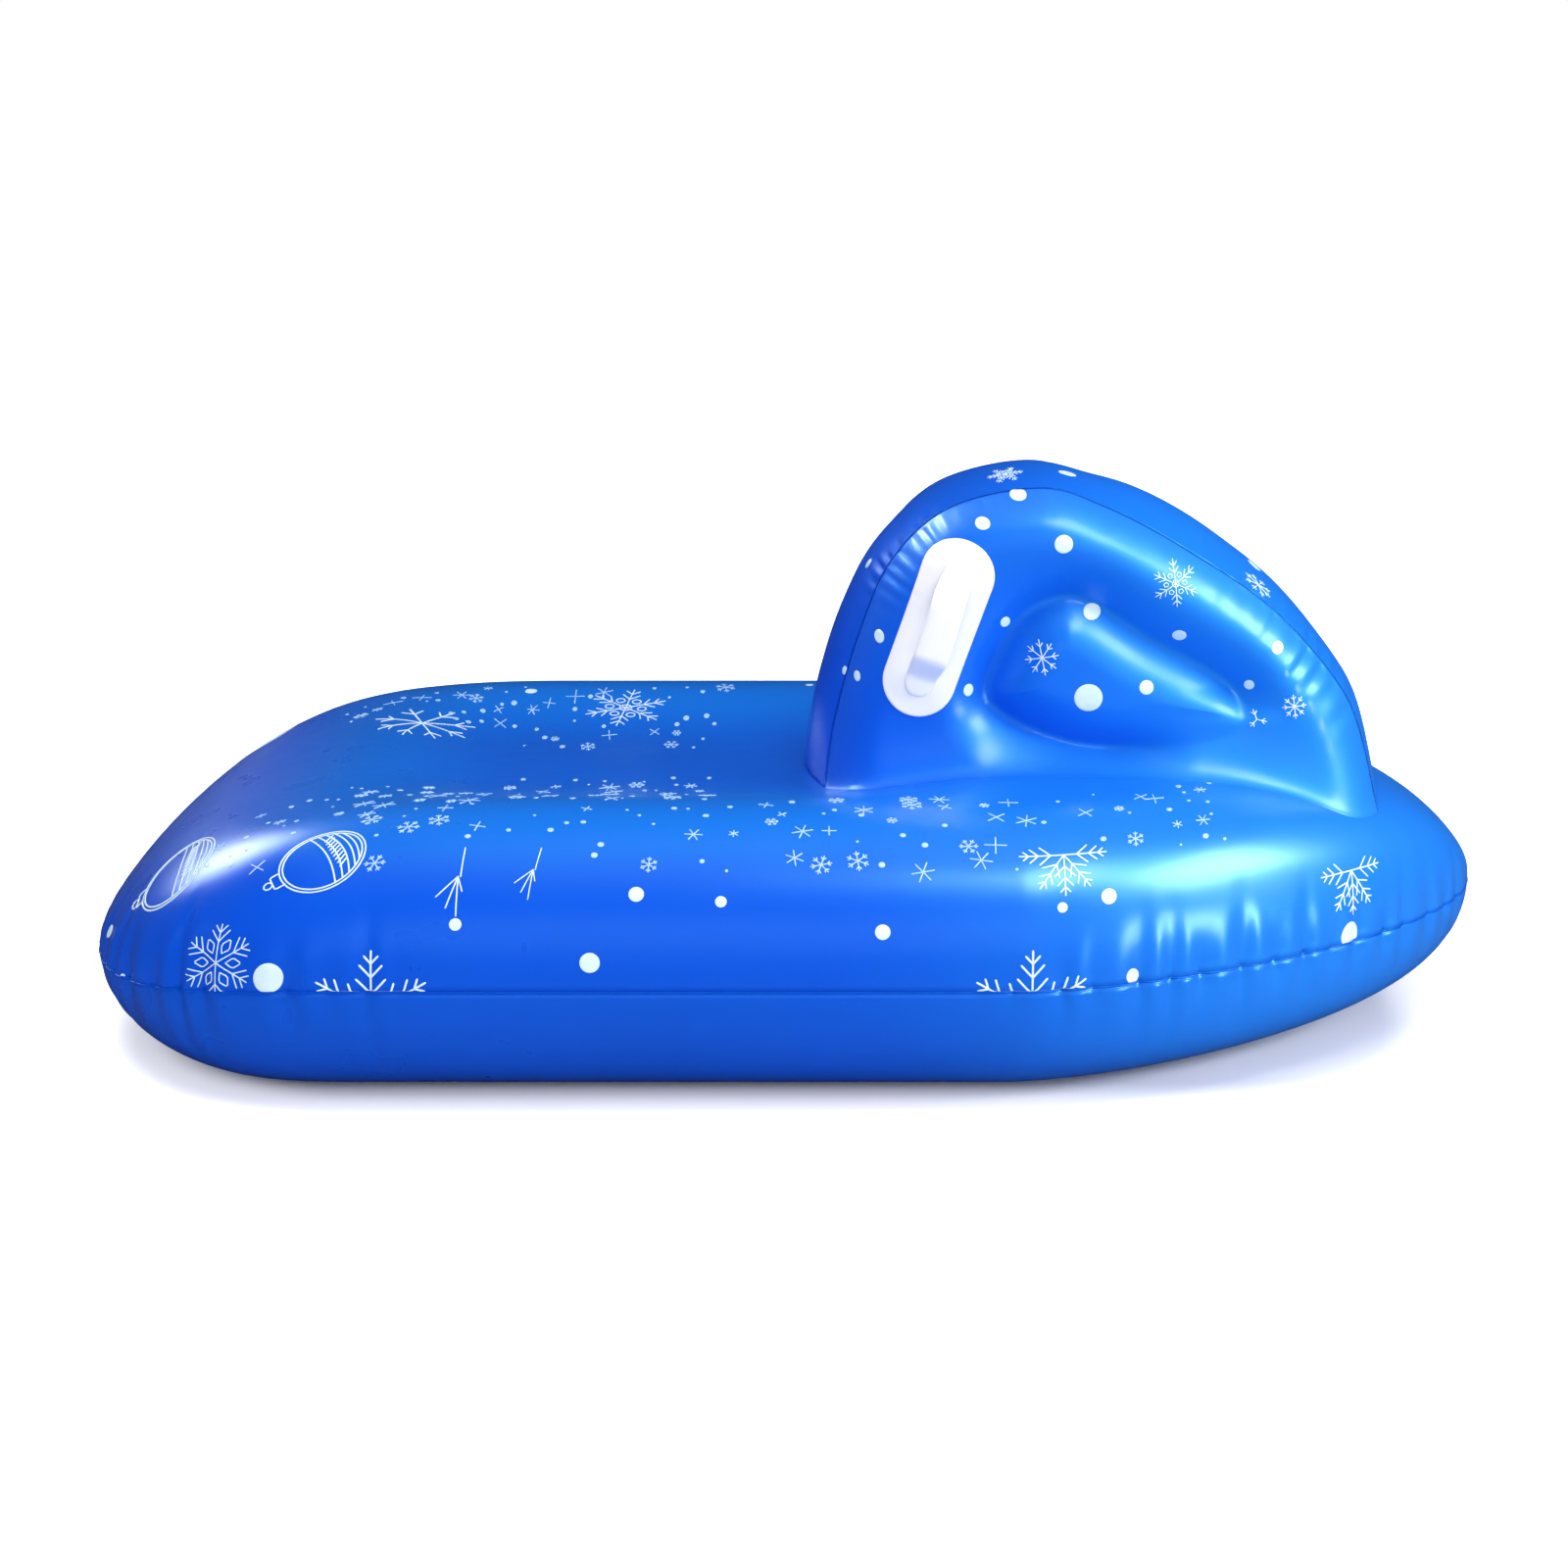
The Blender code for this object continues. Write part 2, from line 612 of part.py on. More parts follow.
def on_skin(skin, x, z, side, out):
    """World places that stand out by the given distance from a built hood panel.

    Each is held off by the highest skin close round it, as a stiff patch would be.
    """
    places = []
    for px, pz, stand in np.broadcast(x, z, out):
        reach = 0.0
        for dx, dz in ((0, 0), (1, 0), (-1, 0), (0, 1), (0, -1)):
            start = Vector((px + dx * PATCH_REST, side * BAND_WIDTH_FRONT, pz + dz * PATCH_REST))
            hit = skin.ray_cast(start, Vector((0.0, -side, 0.0)))
            reach = max(reach, abs(hit[0].y))
        places.append((px, side * (reach + stand), pz))
    return np.array(places)


def handle_place(along, across):
    """Side-view place of a point given along and across the handle."""
    tilt = math.radians(HANDLE_TILT_DEG)
    x = HANDLE_X + along * math.sin(tilt) + across * math.cos(tilt)
    z = HANDLE_Z + along * math.cos(tilt) - across * math.sin(tilt)
    return x, z


def stadium(length, width, count):
    """Outline of a bar with round ends, as (along, across) points from one tip round to it."""
    straight = (length - width) / 2
    turn = np.linspace(-math.pi / 2, math.pi / 2, 25)
    end = np.stack([straight + np.cos(turn) * width / 2, np.sin(turn) * width / 2], axis=1)
    tip = len(end) // 2
    loop = np.vstack([end[tip:], -end, end[:tip + 1]])
    return even_spacing(loop, count + 1)[:-1]


def handle_patch(name, side, skin, group, material):
    """Oval reinforcement welded flat on the hood panel."""
    straight = (PATCH_LENGTH - PATCH_WIDTH) / 2
    edge = stadium(PATCH_LENGTH, PATCH_WIDTH, PATCH_COLUMNS)
    middle = np.stack([np.clip(edge[:, 0], -straight, straight), 0 * edge[:, 0]], axis=1)
    top = []
    bottom = []
    for share in (1.0, 0.75, 0.5, 0.25, 0.0):
        along, across = (middle + (edge - middle) * share).T
        x, z = handle_place(along, across)
        rim = PATCH_THICK if share < 1.0 else PATCH_THICK / 2
        top.append(on_skin(skin, x, z, side, PATCH_GAP + rim))
        bottom.append(on_skin(skin, x, z, side, PATCH_GAP))
    mesh = grid_mesh(name, bottom[::-1] + top, wrap=True)
    bm = bmesh.new()
    bm.from_mesh(mesh)
    bmesh.ops.recalc_face_normals(bm, faces=bm.faces)
    bm.to_mesh(mesh)
    bm.free()
    return add_object(name, mesh, group, material)


def grip_lift(along):
    """Clearance of the grip over its patch: seated at both pads, level over the fingers."""
    run = GRIP_LENGTH / 2 - GRIP_PAD - GRIP_TOP_RUN / 2
    t = (GRIP_LENGTH / 2 - GRIP_PAD - np.abs(along)) / run
    return GRIP_LIFT * smooth(t)


def handle_grip(name, side, skin, group, material):
    """Soft strap that arches over the fingers between two pads on the patch."""
    rings = []
    turn = np.linspace(0.0, 2 * math.pi, 10, endpoint=False)
    squareness_share = 0.55
    cos, sin = np.cos(turn), np.sin(turn)
    across = GRIP_WIDTH / 2 * np.sign(cos) * np.abs(cos) ** squareness_share
    through = GRIP_THICK / 2 * (1 + np.sign(sin) * np.abs(sin) ** squareness_share)
    for along in np.linspace(-GRIP_LENGTH / 2, GRIP_LENGTH / 2, 21):
        x, z = handle_place(np.full(len(turn), along), across)
        ends = math.sqrt(max(1 - (abs(along) / (GRIP_LENGTH / 2)) ** 16, 0.16))
        out = PATCH_GAP + PATCH_THICK + GRIP_GAP + grip_lift(along) + through * ends
        rings.append(on_skin(skin, x, z, side, out))
    return add_object(name, loft_mesh(name, rings), group, material)


def revolved(name, profile, group, material):
    """Turned solid from a closed profile of (radius, height) points."""
    bm = bmesh.new()
    verts = [bm.verts.new((r, 0.0, z)) for r, z in profile]
    edges = [bm.edges.new((verts[k], verts[(k + 1) % len(verts)])) for k in range(len(verts))]
    bmesh.ops.spin(bm, geom=verts + edges, cent=(0, 0, 0), axis=(0, 0, 1), angle=2 * math.pi,
                   steps=ROUND_SEGMENTS, use_merge=True)
    bmesh.ops.remove_doubles(bm, verts=bm.verts, dist=TOUCH_GAP / 10)
    bmesh.ops.recalc_face_normals(bm, faces=bm.faces)
    mesh = bpy.data.meshes.new(name)
    bm.to_mesh(mesh)
    bm.free()
    return add_object(name, mesh, group, material)


def union_box(thing, low, high, cutters, name):
    """Join a box to a solid: a lug on a turned part."""
    low, high = Vector(low), Vector(high)
    bm = bmesh.new()
    bmesh.ops.create_cube(bm, size=1.0)
    bmesh.ops.scale(bm, vec=high - low, verts=bm.verts)
    bmesh.ops.translate(bm, vec=(low + high) / 2, verts=bm.verts)
    mesh = bpy.data.meshes.new(name)
    bm.to_mesh(mesh)
    bm.free()
    lug = bpy.data.objects.new(name, mesh)
    cutters.objects.link(lug)
    lug.parent = thing.parent
    lug.hide_render = True
    lug.display_type = "WIRE"
    join = thing.modifiers.new(name, "BOOLEAN")
    join.operation = "UNION"
    join.object = lug


def valve(prefix, place, panel, group, cutters, material):
    """Push-in valve: ring on the skin, sliding stem, tethered plug and inner check flap.

    Built along +Z out of the skin under one empty, with its strap hinge at +X.
    """
    root = bpy.data.objects.new(prefix + "_axis", None)
    group.objects.link(root)
    root.matrix_world = place
    stem_r = VALVE_BORE_R + VALVE_STEM_WALL
    neck_in = stem_r + RUN_GAP
    neck_out = neck_in + VALVE_NECK_WALL
    flange_low = TOUCH_GAP
    flange_top = flange_low + VALVE_FLANGE_THICK
    edge = VALVE_FLANGE_THICK / 2
    ring = revolved(prefix + "_ring", (
        (neck_in, -VALVE_NECK_DEPTH), (neck_out, -VALVE_NECK_DEPTH), (neck_out, flange_low),
        (VALVE_FLANGE_R, flange_low), (VALVE_FLANGE_R, flange_top - edge),
        (VALVE_FLANGE_R - edge, flange_top), (neck_in, flange_top)), group, material)
    collar_low = flange_top + RUN_GAP
    collar_top = collar_low + VALVE_COLLAR_THICK
    stem_low = -VALVE_STEM_DEPTH - VALVE_LIP_THICK
    stem = revolved(prefix + "_stem", (
        (VALVE_BORE_R, stem_low), (VALVE_LIP_R, stem_low), (VALVE_LIP_R, -VALVE_STEM_DEPTH),
        (stem_r, -VALVE_STEM_DEPTH), (stem_r, collar_low), (VALVE_COLLAR_R, collar_low),
        (VALVE_COLLAR_R, collar_top), (VALVE_BORE_R, collar_top)), group, material)
    half_tab = PLUG_TAB_WIDTH / 2
    disc_low = collar_top + RUN_GAP
    disc_top = disc_low + PLUG_DISC_THICK
    pin_r = VALVE_BORE_R - RUN_GAP
    pin_low = disc_low - PLUG_PIN_DEPTH
    plug = revolved(prefix + "_plug", (
        (0.0, pin_low), (PLUG_PIN_TIP_R, pin_low), (pin_r, disc_low), (PLUG_DISC_R, disc_low),
        (PLUG_DISC_R, disc_top), (0.0, disc_top)), group, material)
    flap_top = stem_low - RUN_GAP
    flap = revolved(prefix + "_flap", (
        (0.0, flap_top - FLAP_THICK), (FLAP_R, flap_top - FLAP_THICK), (FLAP_R, flap_top),
        (0.0, flap_top)), group, material)
    for thing in (ring, stem, plug, flap):
        thing.parent = root
    union_box(stem, (VALVE_COLLAR_R - half_tab, -half_tab, collar_low),
              (PLUG_HINGE_R + EAR_OVERRUN, half_tab, collar_top), cutters, prefix + "_ear")
    union_box(plug, (PLUG_DISC_R - half_tab, -half_tab, disc_low),
              (PLUG_HINGE_R, half_tab, disc_low + VALVE_COLLAR_THICK), cutters, prefix + "_strap")
    move_origin(plug, (PLUG_HINGE_R, 0.0, disc_low + VALVE_COLLAR_THICK / 2))
    move_origin(flap, (FLAP_R, 0.0, flap_top + RUN_GAP / 2))
    cut_hole(prefix, place, neck_out + HOLE_GAP, panel, cutters)


def move_origin(thing, place):
    """Put a piece's origin on its hinge without moving the piece."""
    thing.data.transform(Matrix.Translation(-Vector(place)))
    thing.location = place


def cut_hole(prefix, place, radius, panel, cutters):
    """Round hole through the skin for the valve's neck."""
    bm = bmesh.new()
    bmesh.ops.create_cone(bm, cap_ends=True, segments=ROUND_SEGMENTS, radius1=radius, radius2=radius,
                          depth=2 * CUT_OVERRUN)
    mesh = bpy.data.meshes.new(prefix + "_hole")
    bm.to_mesh(mesh)
    bm.free()
    hole = bpy.data.objects.new(prefix + "_hole", mesh)
    cutters.objects.link(hole)
    hole.matrix_world = place
    hole.hide_render = True
    hole.display_type = "WIRE"
    cut = panel.modifiers.new(prefix + "_hole", "BOOLEAN")
    cut.operation = "DIFFERENCE"
    cut.object = hole


def placement(point, normal, upward):
    """Frame at a point with +Z along the normal and +X as near as can be to a direction."""
    z = Vector(normal).normalized()
    x = Vector(upward)
    x = (x - z * x.dot(z)).normalized()
    y = z.cross(x)
    frame = Matrix((x, y, z)).transposed().to_4x4()
    frame.translation = Vector(point)
    return frame


def valve_place(skin, x, z):
    """Frame of a valve on the left side: square to the skin, its flange just clear of it."""
    spot, normal, _, _ = skin.ray_cast(Vector((x, BASE_WIDTH, z)), Vector((0.0, -1.0, 0.0)))
    frame = placement(spot, normal, (0.0, 0.0, 1.0))
    lift = 0.0
    for turn in np.linspace(0.0, 2 * math.pi, ROUND_SEGMENTS, endpoint=False):
        for reach in (VALVE_FLANGE_R / 2, VALVE_FLANGE_R):
            above = frame @ Vector((reach * math.cos(turn), reach * math.sin(turn), VALVE_FLANGE_R))
            below = skin.ray_cast(above, -normal)[0]
            lift = max(lift, VALVE_FLANGE_R - (above - below).length)
    frame.translation += normal * lift
    return frame


def make_materials():
    return {
        "printed": make_material("printed_film", FILM_BLUE, 0.22),
        "plain": make_material("bottom_film", BOTTOM_BLUE, 0.30),
        "inner": make_material("baffle_film", INNER_BLUE, 0.35),
        "white": make_material("handle_vinyl", HANDLE_WHITE, 0.30),
        "clear": make_material("valve_vinyl", VALVE_CLEAR, 0.25),
    }


def build_base(group, cutters, paint):
    top = base_panel("base_top_panel", deck_height, 1, 4, group, paint["printed"])
    low = base_panel("base_bottom_panel", keel_height, -1, 1, group, paint["plain"])
    sheets = (sheet_probe(top), sheet_probe(low))
    for name, y in (("right", -BAFFLE_SPACING), ("centre", 0.0), ("left", BAFFLE_SPACING)):
        base_baffle("base_baffle_" + name, y, sheets, group, paint["inner"])
    place = valve_place(sheets[0], BASE_VALVE_X, BASE_VALVE_Z)
    valve("base_valve", place, top, group, cutters, paint["clear"])
    return sheets[0]


def build_hood(deck, group, cutters, paint):
    right = hood_panel("hood_panel_right", -1, deck, group, paint["printed"])
    left = hood_panel("hood_panel_left", 1, deck, group, paint["printed"])
    hood_band("hood_band", deck, group, paint["printed"])
    skins = {"right": (sheet_probe(right), -1), "left": (sheet_probe(left), 1)}
    hood_tie("hood_tie_baffle", (skins["right"], skins["left"]), group, paint["inner"])
    for name, (skin, side) in skins.items():
        handle_patch("handle_patch_" + name, side, skin, group, paint["white"])
        handle_grip("handle_grip_" + name, side, skin, group, paint["white"])
    place = valve_place(skins["left"][0], HOOD_VALVE_X, HOOD_VALVE_Z)
    valve("hood_valve", place, left, group, cutters, paint["clear"])


def centre_along_x():
    """Bring the middle of the sled's length to the origin."""
    for thing in bpy.data.objects:
        if thing.parent is None:
            thing.location.x -= SLED_LENGTH / 2


def main():
    clear_scene()
    group = make_collection("inflatable_sled")
    cutters = make_collection("cutters")
    paint = make_materials()
    deck = build_base(group, cutters, paint)
    build_hood(deck, group, cutters, paint)
    centre_along_x()
    bpy.context.view_layer.update()


main()
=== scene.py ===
"""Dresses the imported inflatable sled: skins, weld beads, handles, valves, prints and stage.

Stations are distances from the sled's rear end; the finished meshes have their middle at 0.
"""
import math
from functools import partial

import bmesh
import bpy
import numpy as np
from bpy.props import FloatProperty, FloatVectorProperty, PointerProperty
from bpy.types import Operator, Panel, PropertyGroup
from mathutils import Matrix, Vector


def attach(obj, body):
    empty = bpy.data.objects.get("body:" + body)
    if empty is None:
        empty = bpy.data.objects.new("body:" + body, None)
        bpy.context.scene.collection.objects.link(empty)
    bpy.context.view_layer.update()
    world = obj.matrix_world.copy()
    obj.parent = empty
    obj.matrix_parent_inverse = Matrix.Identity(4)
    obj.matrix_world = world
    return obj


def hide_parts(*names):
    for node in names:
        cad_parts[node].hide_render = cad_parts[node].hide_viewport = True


bl_info = {
    "name": "Inflatable sled",
    "version": (1, 0, 0),
    "blender": (4, 5, 0),
    "location": "View3D > Sidebar > Sled",
    "description": "Makes an inflatable snow sled's skins, prints, handles and valves",
    "category": "Add Mesh",
}

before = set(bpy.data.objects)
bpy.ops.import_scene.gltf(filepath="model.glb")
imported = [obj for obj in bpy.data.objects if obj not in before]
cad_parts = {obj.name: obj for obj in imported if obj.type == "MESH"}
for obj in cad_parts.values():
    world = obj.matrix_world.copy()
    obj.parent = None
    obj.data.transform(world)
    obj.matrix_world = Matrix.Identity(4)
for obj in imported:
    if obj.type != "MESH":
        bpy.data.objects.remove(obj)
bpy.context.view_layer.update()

# Plan of the base
SLED_LENGTH = 1.200
BASE_WIDTH = 0.648
REAR_ROUND_LENGTH = 0.244
BOW_LENGTH = 0.420
REAR_SHAPE = (2.55, 2.30)
BOW_SHAPE = (1.47, 1.62)

# Heights of the base
SEAM_HEIGHT = 0.110
RIM_HEIGHT = 0.230
SIDE_ROUND = 0.100
BOW_TIP_ROUND = 0.066
SEAM_REAR_DIP = 0.031
SEAM_BOW_DIP = 0.004
KEEL_RISE = 0.0195
KEEL_POWER = 1.5
REAR_DROP = 0.101
REAR_DROP_LENGTH = 0.400
REAR_DROP_POWER = 2.75
BOW_DROP = 0.046
BOW_DROP_POWER = 3.0
DISH_DEPTH = 0.022
DISH_REAR = 0.200
DISH_EASE = 0.160
DISH_UNDER_HOOD = 0.152
FILM = 0.0006
SIDES = (("right", -1.0), ("left", 1.0))

# Hood
HOOD_LENGTH = 0.467
HOOD_RISE = 0.2385
HOOD_BOW_MARGIN = 0.105
HOOD_FOOT_SINK = 0.005
HOOD_REAR = SLED_LENGTH - HOOD_BOW_MARGIN - HOOD_LENGTH
HOOD_FOOT = RIM_HEIGHT - HOOD_FOOT_SINK
DISH_FRONT = HOOD_REAR + DISH_UNDER_HOOD
FOOT_BLEND = 0.070
HOOD_OUTLINE = (
    (0.000, 0.000), (0.019, 0.189), (0.065, 0.503), (0.121, 0.751), (0.220, 0.929), (0.381, 1.000),
    (0.497, 0.935), (0.632, 0.799), (0.802, 0.577), (0.934, 0.287), (1.000, 0.000),
)
PILLOW_OUTLINE = (
    (0.392, 0.608), (0.465, 0.616), (0.578, 0.482), (0.728, 0.310), (0.722, 0.155), (0.533, 0.084),
    (0.396, 0.130), (0.296, 0.268), (0.334, 0.503),
)
PILLOW_CORE = ((0.42, 0.35), (0.62, 0.27))
PILLOW_FADE = ((0.50, 0.67), (0.32, 0.19))
BAND_WIDTH_REAR = 0.132
BAND_WIDTH_FRONT = 0.168
BAND_BULGE = 0.020
BAND_BULGE_SHARES = (
    0.86, 0.88, 0.86, 0.70, 0.38, 0.27, 0.27, 0.42, 0.82, 0.95, 0.82, 0.72, 0.62, 0.64, 0.62,
)
PANEL_BULGE = 0.036
PANEL_ROUND = 0.052
PANEL_ROUND_POWER = 2.9
CREASE_DEPTH = 0.026
CREASE_OUTSIDE = 0.044
CREASE_INSIDE = 0.040
CREASE_SOFT = 0.004
CREASE_FADE = 0.8
FOOT_FLARE = 0.024
FLARE_HEIGHT = 0.060
FOOT_SINK = 0.0004
HOOD_HEART_RISE = 0.05

# Handles
SHOULDER_SHARE = 0.165
HANDLE_SET_IN = 0.0165
HANDLE_RISE_SHARE = 0.53
HANDLE_X = HOOD_REAR + SHOULDER_SHARE * HOOD_LENGTH + HANDLE_SET_IN
HANDLE_Z = HOOD_FOOT + HANDLE_RISE_SHARE * HOOD_RISE
HANDLE_TILT_DEG = 19.0
PATCH_LENGTH = 0.154
PATCH_WIDTH = 0.0605
PATCH_THICK = 0.0022
PATCH_STEPS = 160
# From the patch's middle line underneath, round its edge and back on top: width and height shares
PATCH_SHARES = (0.0, 0.25, 0.5, 0.75, 0.9, 0.97, 1.0, 1.0, 0.985, 0.96, 0.92, 0.85, 0.7, 0.5,
                0.3, 0.1, 0.0)
PATCH_LEVELS = (-0.4,) * 6 + (-0.2, 0.35, 0.8, 0.95) + (1.0,) * 7
GRIP_LENGTH = 0.118
GRIP_WIDTH = 0.026
GRIP_THICK = 0.0065
GRIP_LIFT = 0.018
GRIP_PAD = 0.014
GRIP_TOP_RUN = 0.040
GRIP_SINK_SHARE = 0.45
GRIP_STEPS = (90, 40)
GRIP_SECTION_POWERS = (0.6, 0.7)
GRIP_END_POWERS = (7, 2.5)

# Puckers: start, end, mean step, depth and length of each run of them along a seam
BASE_PUCKERS = ((0.004, 0.520, 0.032, 0.0075, 0.110), (0.960, 1.530, 0.0330, 0.0062, 0.080))
HOOD_PUCKERS = (
    (0.150, 0.262, 0.0125, 0.0042, 0.050), (0.262, 0.345, 0.0160, 0.0030, 0.036),
    (0.345, 0.500, 0.0240, 0.0012, 0.036), (0.500, 0.690, 0.0200, 0.0038, 0.062),
)
BASE_PUCKER_SEED = 5
HOOD_PUCKER_SEED = 11
PUCKER_JITTER = 0.22
PUCKER_SOFTENING = 0.007
PUCKER_FADE = 1.8
PUCKER_END_SHARE = 0.03
PUCKER_END_POWER = 0.4
PUCKER_LEAST_DEPTH = 0.35
PUCKER_LEAST_LENGTH = 0.45
HOOD_PUCKER_START = 0.003

# Camera, fitted to the photograph's 1600-pixel square
CAMERA_PLACE = (0.0, -2.3876, 0.8512)
CAMERA_DOWN = 0.301
CAMERA_LENS = 64.5
CAMERA_SHIFT = (-0.0050, 0.0546)
SENSOR = 36.0
PICTURE_PX = 1600.0

# Printed pattern: places and diameters measured in the photograph, in its pixels
BASE_DOTS_PX = (
    (112, 950, 14), (275, 999, 32), (466, 945, 13), (603, 984, 21), (651, 914, 16), (737, 920, 12),
    (900, 953, 16), (1156, 996, 16), (1133, 914, 17), (1083, 928, 11), (1377, 956, 30),
    (124, 996, 8), (542, 705, 12), (825, 699, 8),
)
HOOD_DOTS_PX = (
    (898, 648, 14), (873, 691, 11), (989, 703, 13), (1025, 633, 13), (1003, 533, 16),
    (1040, 503, 18), (1085, 556, 19), (1115, 623, 20), (1112, 714, 29), (1170, 702, 15),
    (1202, 647, 15), (1274, 699, 12), (1303, 659, 15),
)
BAND_DOTS_PX = ((1088, 483, 19), (885, 575, 11), (862, 685, 9), (1329, 651, 15), (1280, 577, 17))
BASE_FLAKES_PX = (
    (220, 984, 80, 0, "petals"), (380, 1011, 130, 0, "sunk"), (1055, 1011, 130, 0, "sunk"),
    (468, 893, 84, 0, "toes"), (544, 889, 66, -8, "toes"), (1085, 872, 92, 0, "lower"),
    (1378, 890, 90, 0, "lower"), (430, 738, 104, 0, "star"), (640, 722, 84, 10, "ornate"),
)
HOOD_FLAKES_PX = (
    (1062, 672, 36, 12, "star"), (1200, 596, 50, 5, "ornate"), (1322, 721, 24, 8, "star"),
    (1283, 733, 20, 20, "drop"),
)
BAND_FLAKES_PX = ((1024, 484, 36, 0, "crown"), (1285, 597, 34, 20, "star"))
BAUBLES_PX = ((330, 876, 98, 128), (180, 888, 120, 140))
INK_LIFT = 0.00035
INK_SINK = 0.00025
INK_LINE_SHARE = 0.019
INK_LINE_LEAST = 0.0009
INK_STEP = 0.003
INK_END_SHARE = 0.35
INK_CAP_SHARE = 0.05
INK_LEAST_STRETCH = 0.2
INK_ROUGHNESS = 0.38
MOTTLE_SCALE = 160.0
MARK_REACH = 0.42
# A stroke's width shares, and a dot's radius shares with their levels over and under the film
STROKE_SHARES = (-0.5, -0.38, 0.38, 0.5)
DOT_SHARES = (0.0, 0.45, 0.85, 0.97, 1.0, 0.7, 0.0)
DOT_LEVELS = (1.0, 1.0, 1.0, 0.7, 0.0, -1.0, -1.0)
DOT_STEPS = 28
TWIG_ANGLE = 0.75
# Round snowflakes: number of arms, then the place and length of each pair of twigs on an arm
FLAKE_ARMS = {
    "star": (8, ((0.62, 0.13),)), "drop": (3, ((0.5, 0.2),)),
    "petals": (6, ((0.55, 0.20), (0.78, 0.13))), "ornate": (6, ((0.45, 0.15), (0.72, 0.12))),
    "crown": (6, ((0.45, 0.15), (0.72, 0.12))),
}
RICH_TWIGS = ((0.30, 0.17), (0.58, 0.13), (0.80, 0.08))
SUNK_DROP = 0.17
LOWER_WAYS = (90, 145, 180, 215, 270)
FLAKE_LOOP, FLAKE_LOOP_OUT, FLAKE_HEART = 0.055, 0.20, 0.075
TOES = ((0.5, 0.0), (0.36, -0.75), (0.42, -0.30), (0.20, 0.30))
TOES_STALK = ((0.03, 0.0), (0.05, 0.42))
PETAL = ((0.0, 0.14), (0.07, 0.24), (0.0, 0.36), (-0.07, 0.24), (0.0, 0.14))
BAUBLE_RADII = (0.44, 0.405)
BAUBLE_BANDS = ((0.02, 0.07), (-0.06, 0.08), (-0.14, 0.08), (-0.22, 0.07), (-0.29, 0.06))
BAUBLE_CAP = ((-0.09, 0.43), (-0.09, 0.53), (0.09, 0.53), (0.09, 0.43))
BAUBLE_LOOP, BAUBLE_LOOP_OUT = 0.045, 0.575
HATCH_HALF, HATCH_COUNT, HATCH_LEAN = 0.24, 9, 0.07
HATCH_LEVELS = (-0.10, -0.20)
FLECK_SEED = 41
FLECK_STEP = 0.026
FLECK_KEEP = 0.78
FLECK_RUN = (0.300, 1.200)
FLECK_CLEARANCE = 0.006
VALVE_CLEARANCE = 0.040
FLECK_SPANS = ((0.105, 0.360), (0.205, 0.360))
FLECK_JITTER = 0.4
FLECK_DECK_STRETCH = 0.8
FLECK_STRETCH_CLIMB = (0.16, 0.08)
FLECK_STRETCH_RUN = (0.42, 0.12)
FLECK_WEIGHT = 1.3
FLECK_KINDS = 6
FLECK_DOT_SHARE = 0.16
FLECK_TWIGS = ((0.6, 0.16),)
FLECK_LEAST_SPREAD = 0.55
FLECK_SIZE = (0.007, 0.018)
FLECK_HOOD_RUN = 0.760
FLECK_HOOD_CLIMB = 0.205
WALL_MIRROR_CLIMB = 0.170

# Films: scale and detail of the noises for tint, wrinkles and grain; the wrinkles' bump
TINT_NOISE = (6.0, 3.0)
WRINKLE_NOISE = (22.0, 2.0)
GRAIN_NOISE = (900.0, 2.0)
WRINKLE_BUMP = (0.12, 0.004)
GRAIN_DEPTH = 0.0002
FILM_GRAIN = 0.10
ROUGHNESS_SPREAD = 0.15
COAT_ROUGHNESS = 0.26
# Painted light: height over which the deck's top is painted paler, and length over which the bow is
# painted paler, standing in for light falling there
DECK_PAINTED_LIGHT_RISE = (0.190, 0.228)
BOW_PAINTED_LIGHT_RUN = (0.020, 0.420)
# Length over which the films grow duller towards the bow, and the shares of roughness there
DULL_RUN = (-0.250, 0.250)
DULL_SHARES = (0.95, 1.15)
# Roughness, share of clear coat and specular level of the base, the hood's panels and its band
BASE_GLOSS = (0.30, 0.36, 0.55)
PANEL_GLOSS = (0.42, 0.28, 0.60)
BAND_GLOSS = (0.30, 0.04, 0.25)
# Roughness and strength of the grain of the other vinyls, and shares of their deeper tints
WELD_FINISH = (0.35, 0.1)
HANDLE_FINISH = (0.30, 0.2)
VALVE_FINISH = (0.22, 0.2)
STRIP_FINISH = (0.35, 0.3)
STRIP_COLOURS = ((0.06, 0.25, 0.80), (0.05, 0.21, 0.70))
VALVE_CLEARNESS = 0.25
BOTTOM_SHADE = 0.85
HANDLE_SHADE = 0.96
VALVE_SHADE = INK_SHADE = 0.9

# Stage
FLOOR_COLOUR = (0.97, 0.97, 0.98)
FLOOR_HALF = 12.0
FLOOR_BOUNCE = 0.62
FLOOR_GLOSS = 0.06
FLOOR_ROUGHNESS = 0.9
FLOOR_CORE = (0.36, 0.085)
FLOOR_GLOW = ((0.15, 0.0), (0.20, 0.4), (0.26, 1.0))
WORLD_FILL = 0.30
WORLD_IN_GLOSS = 0.02
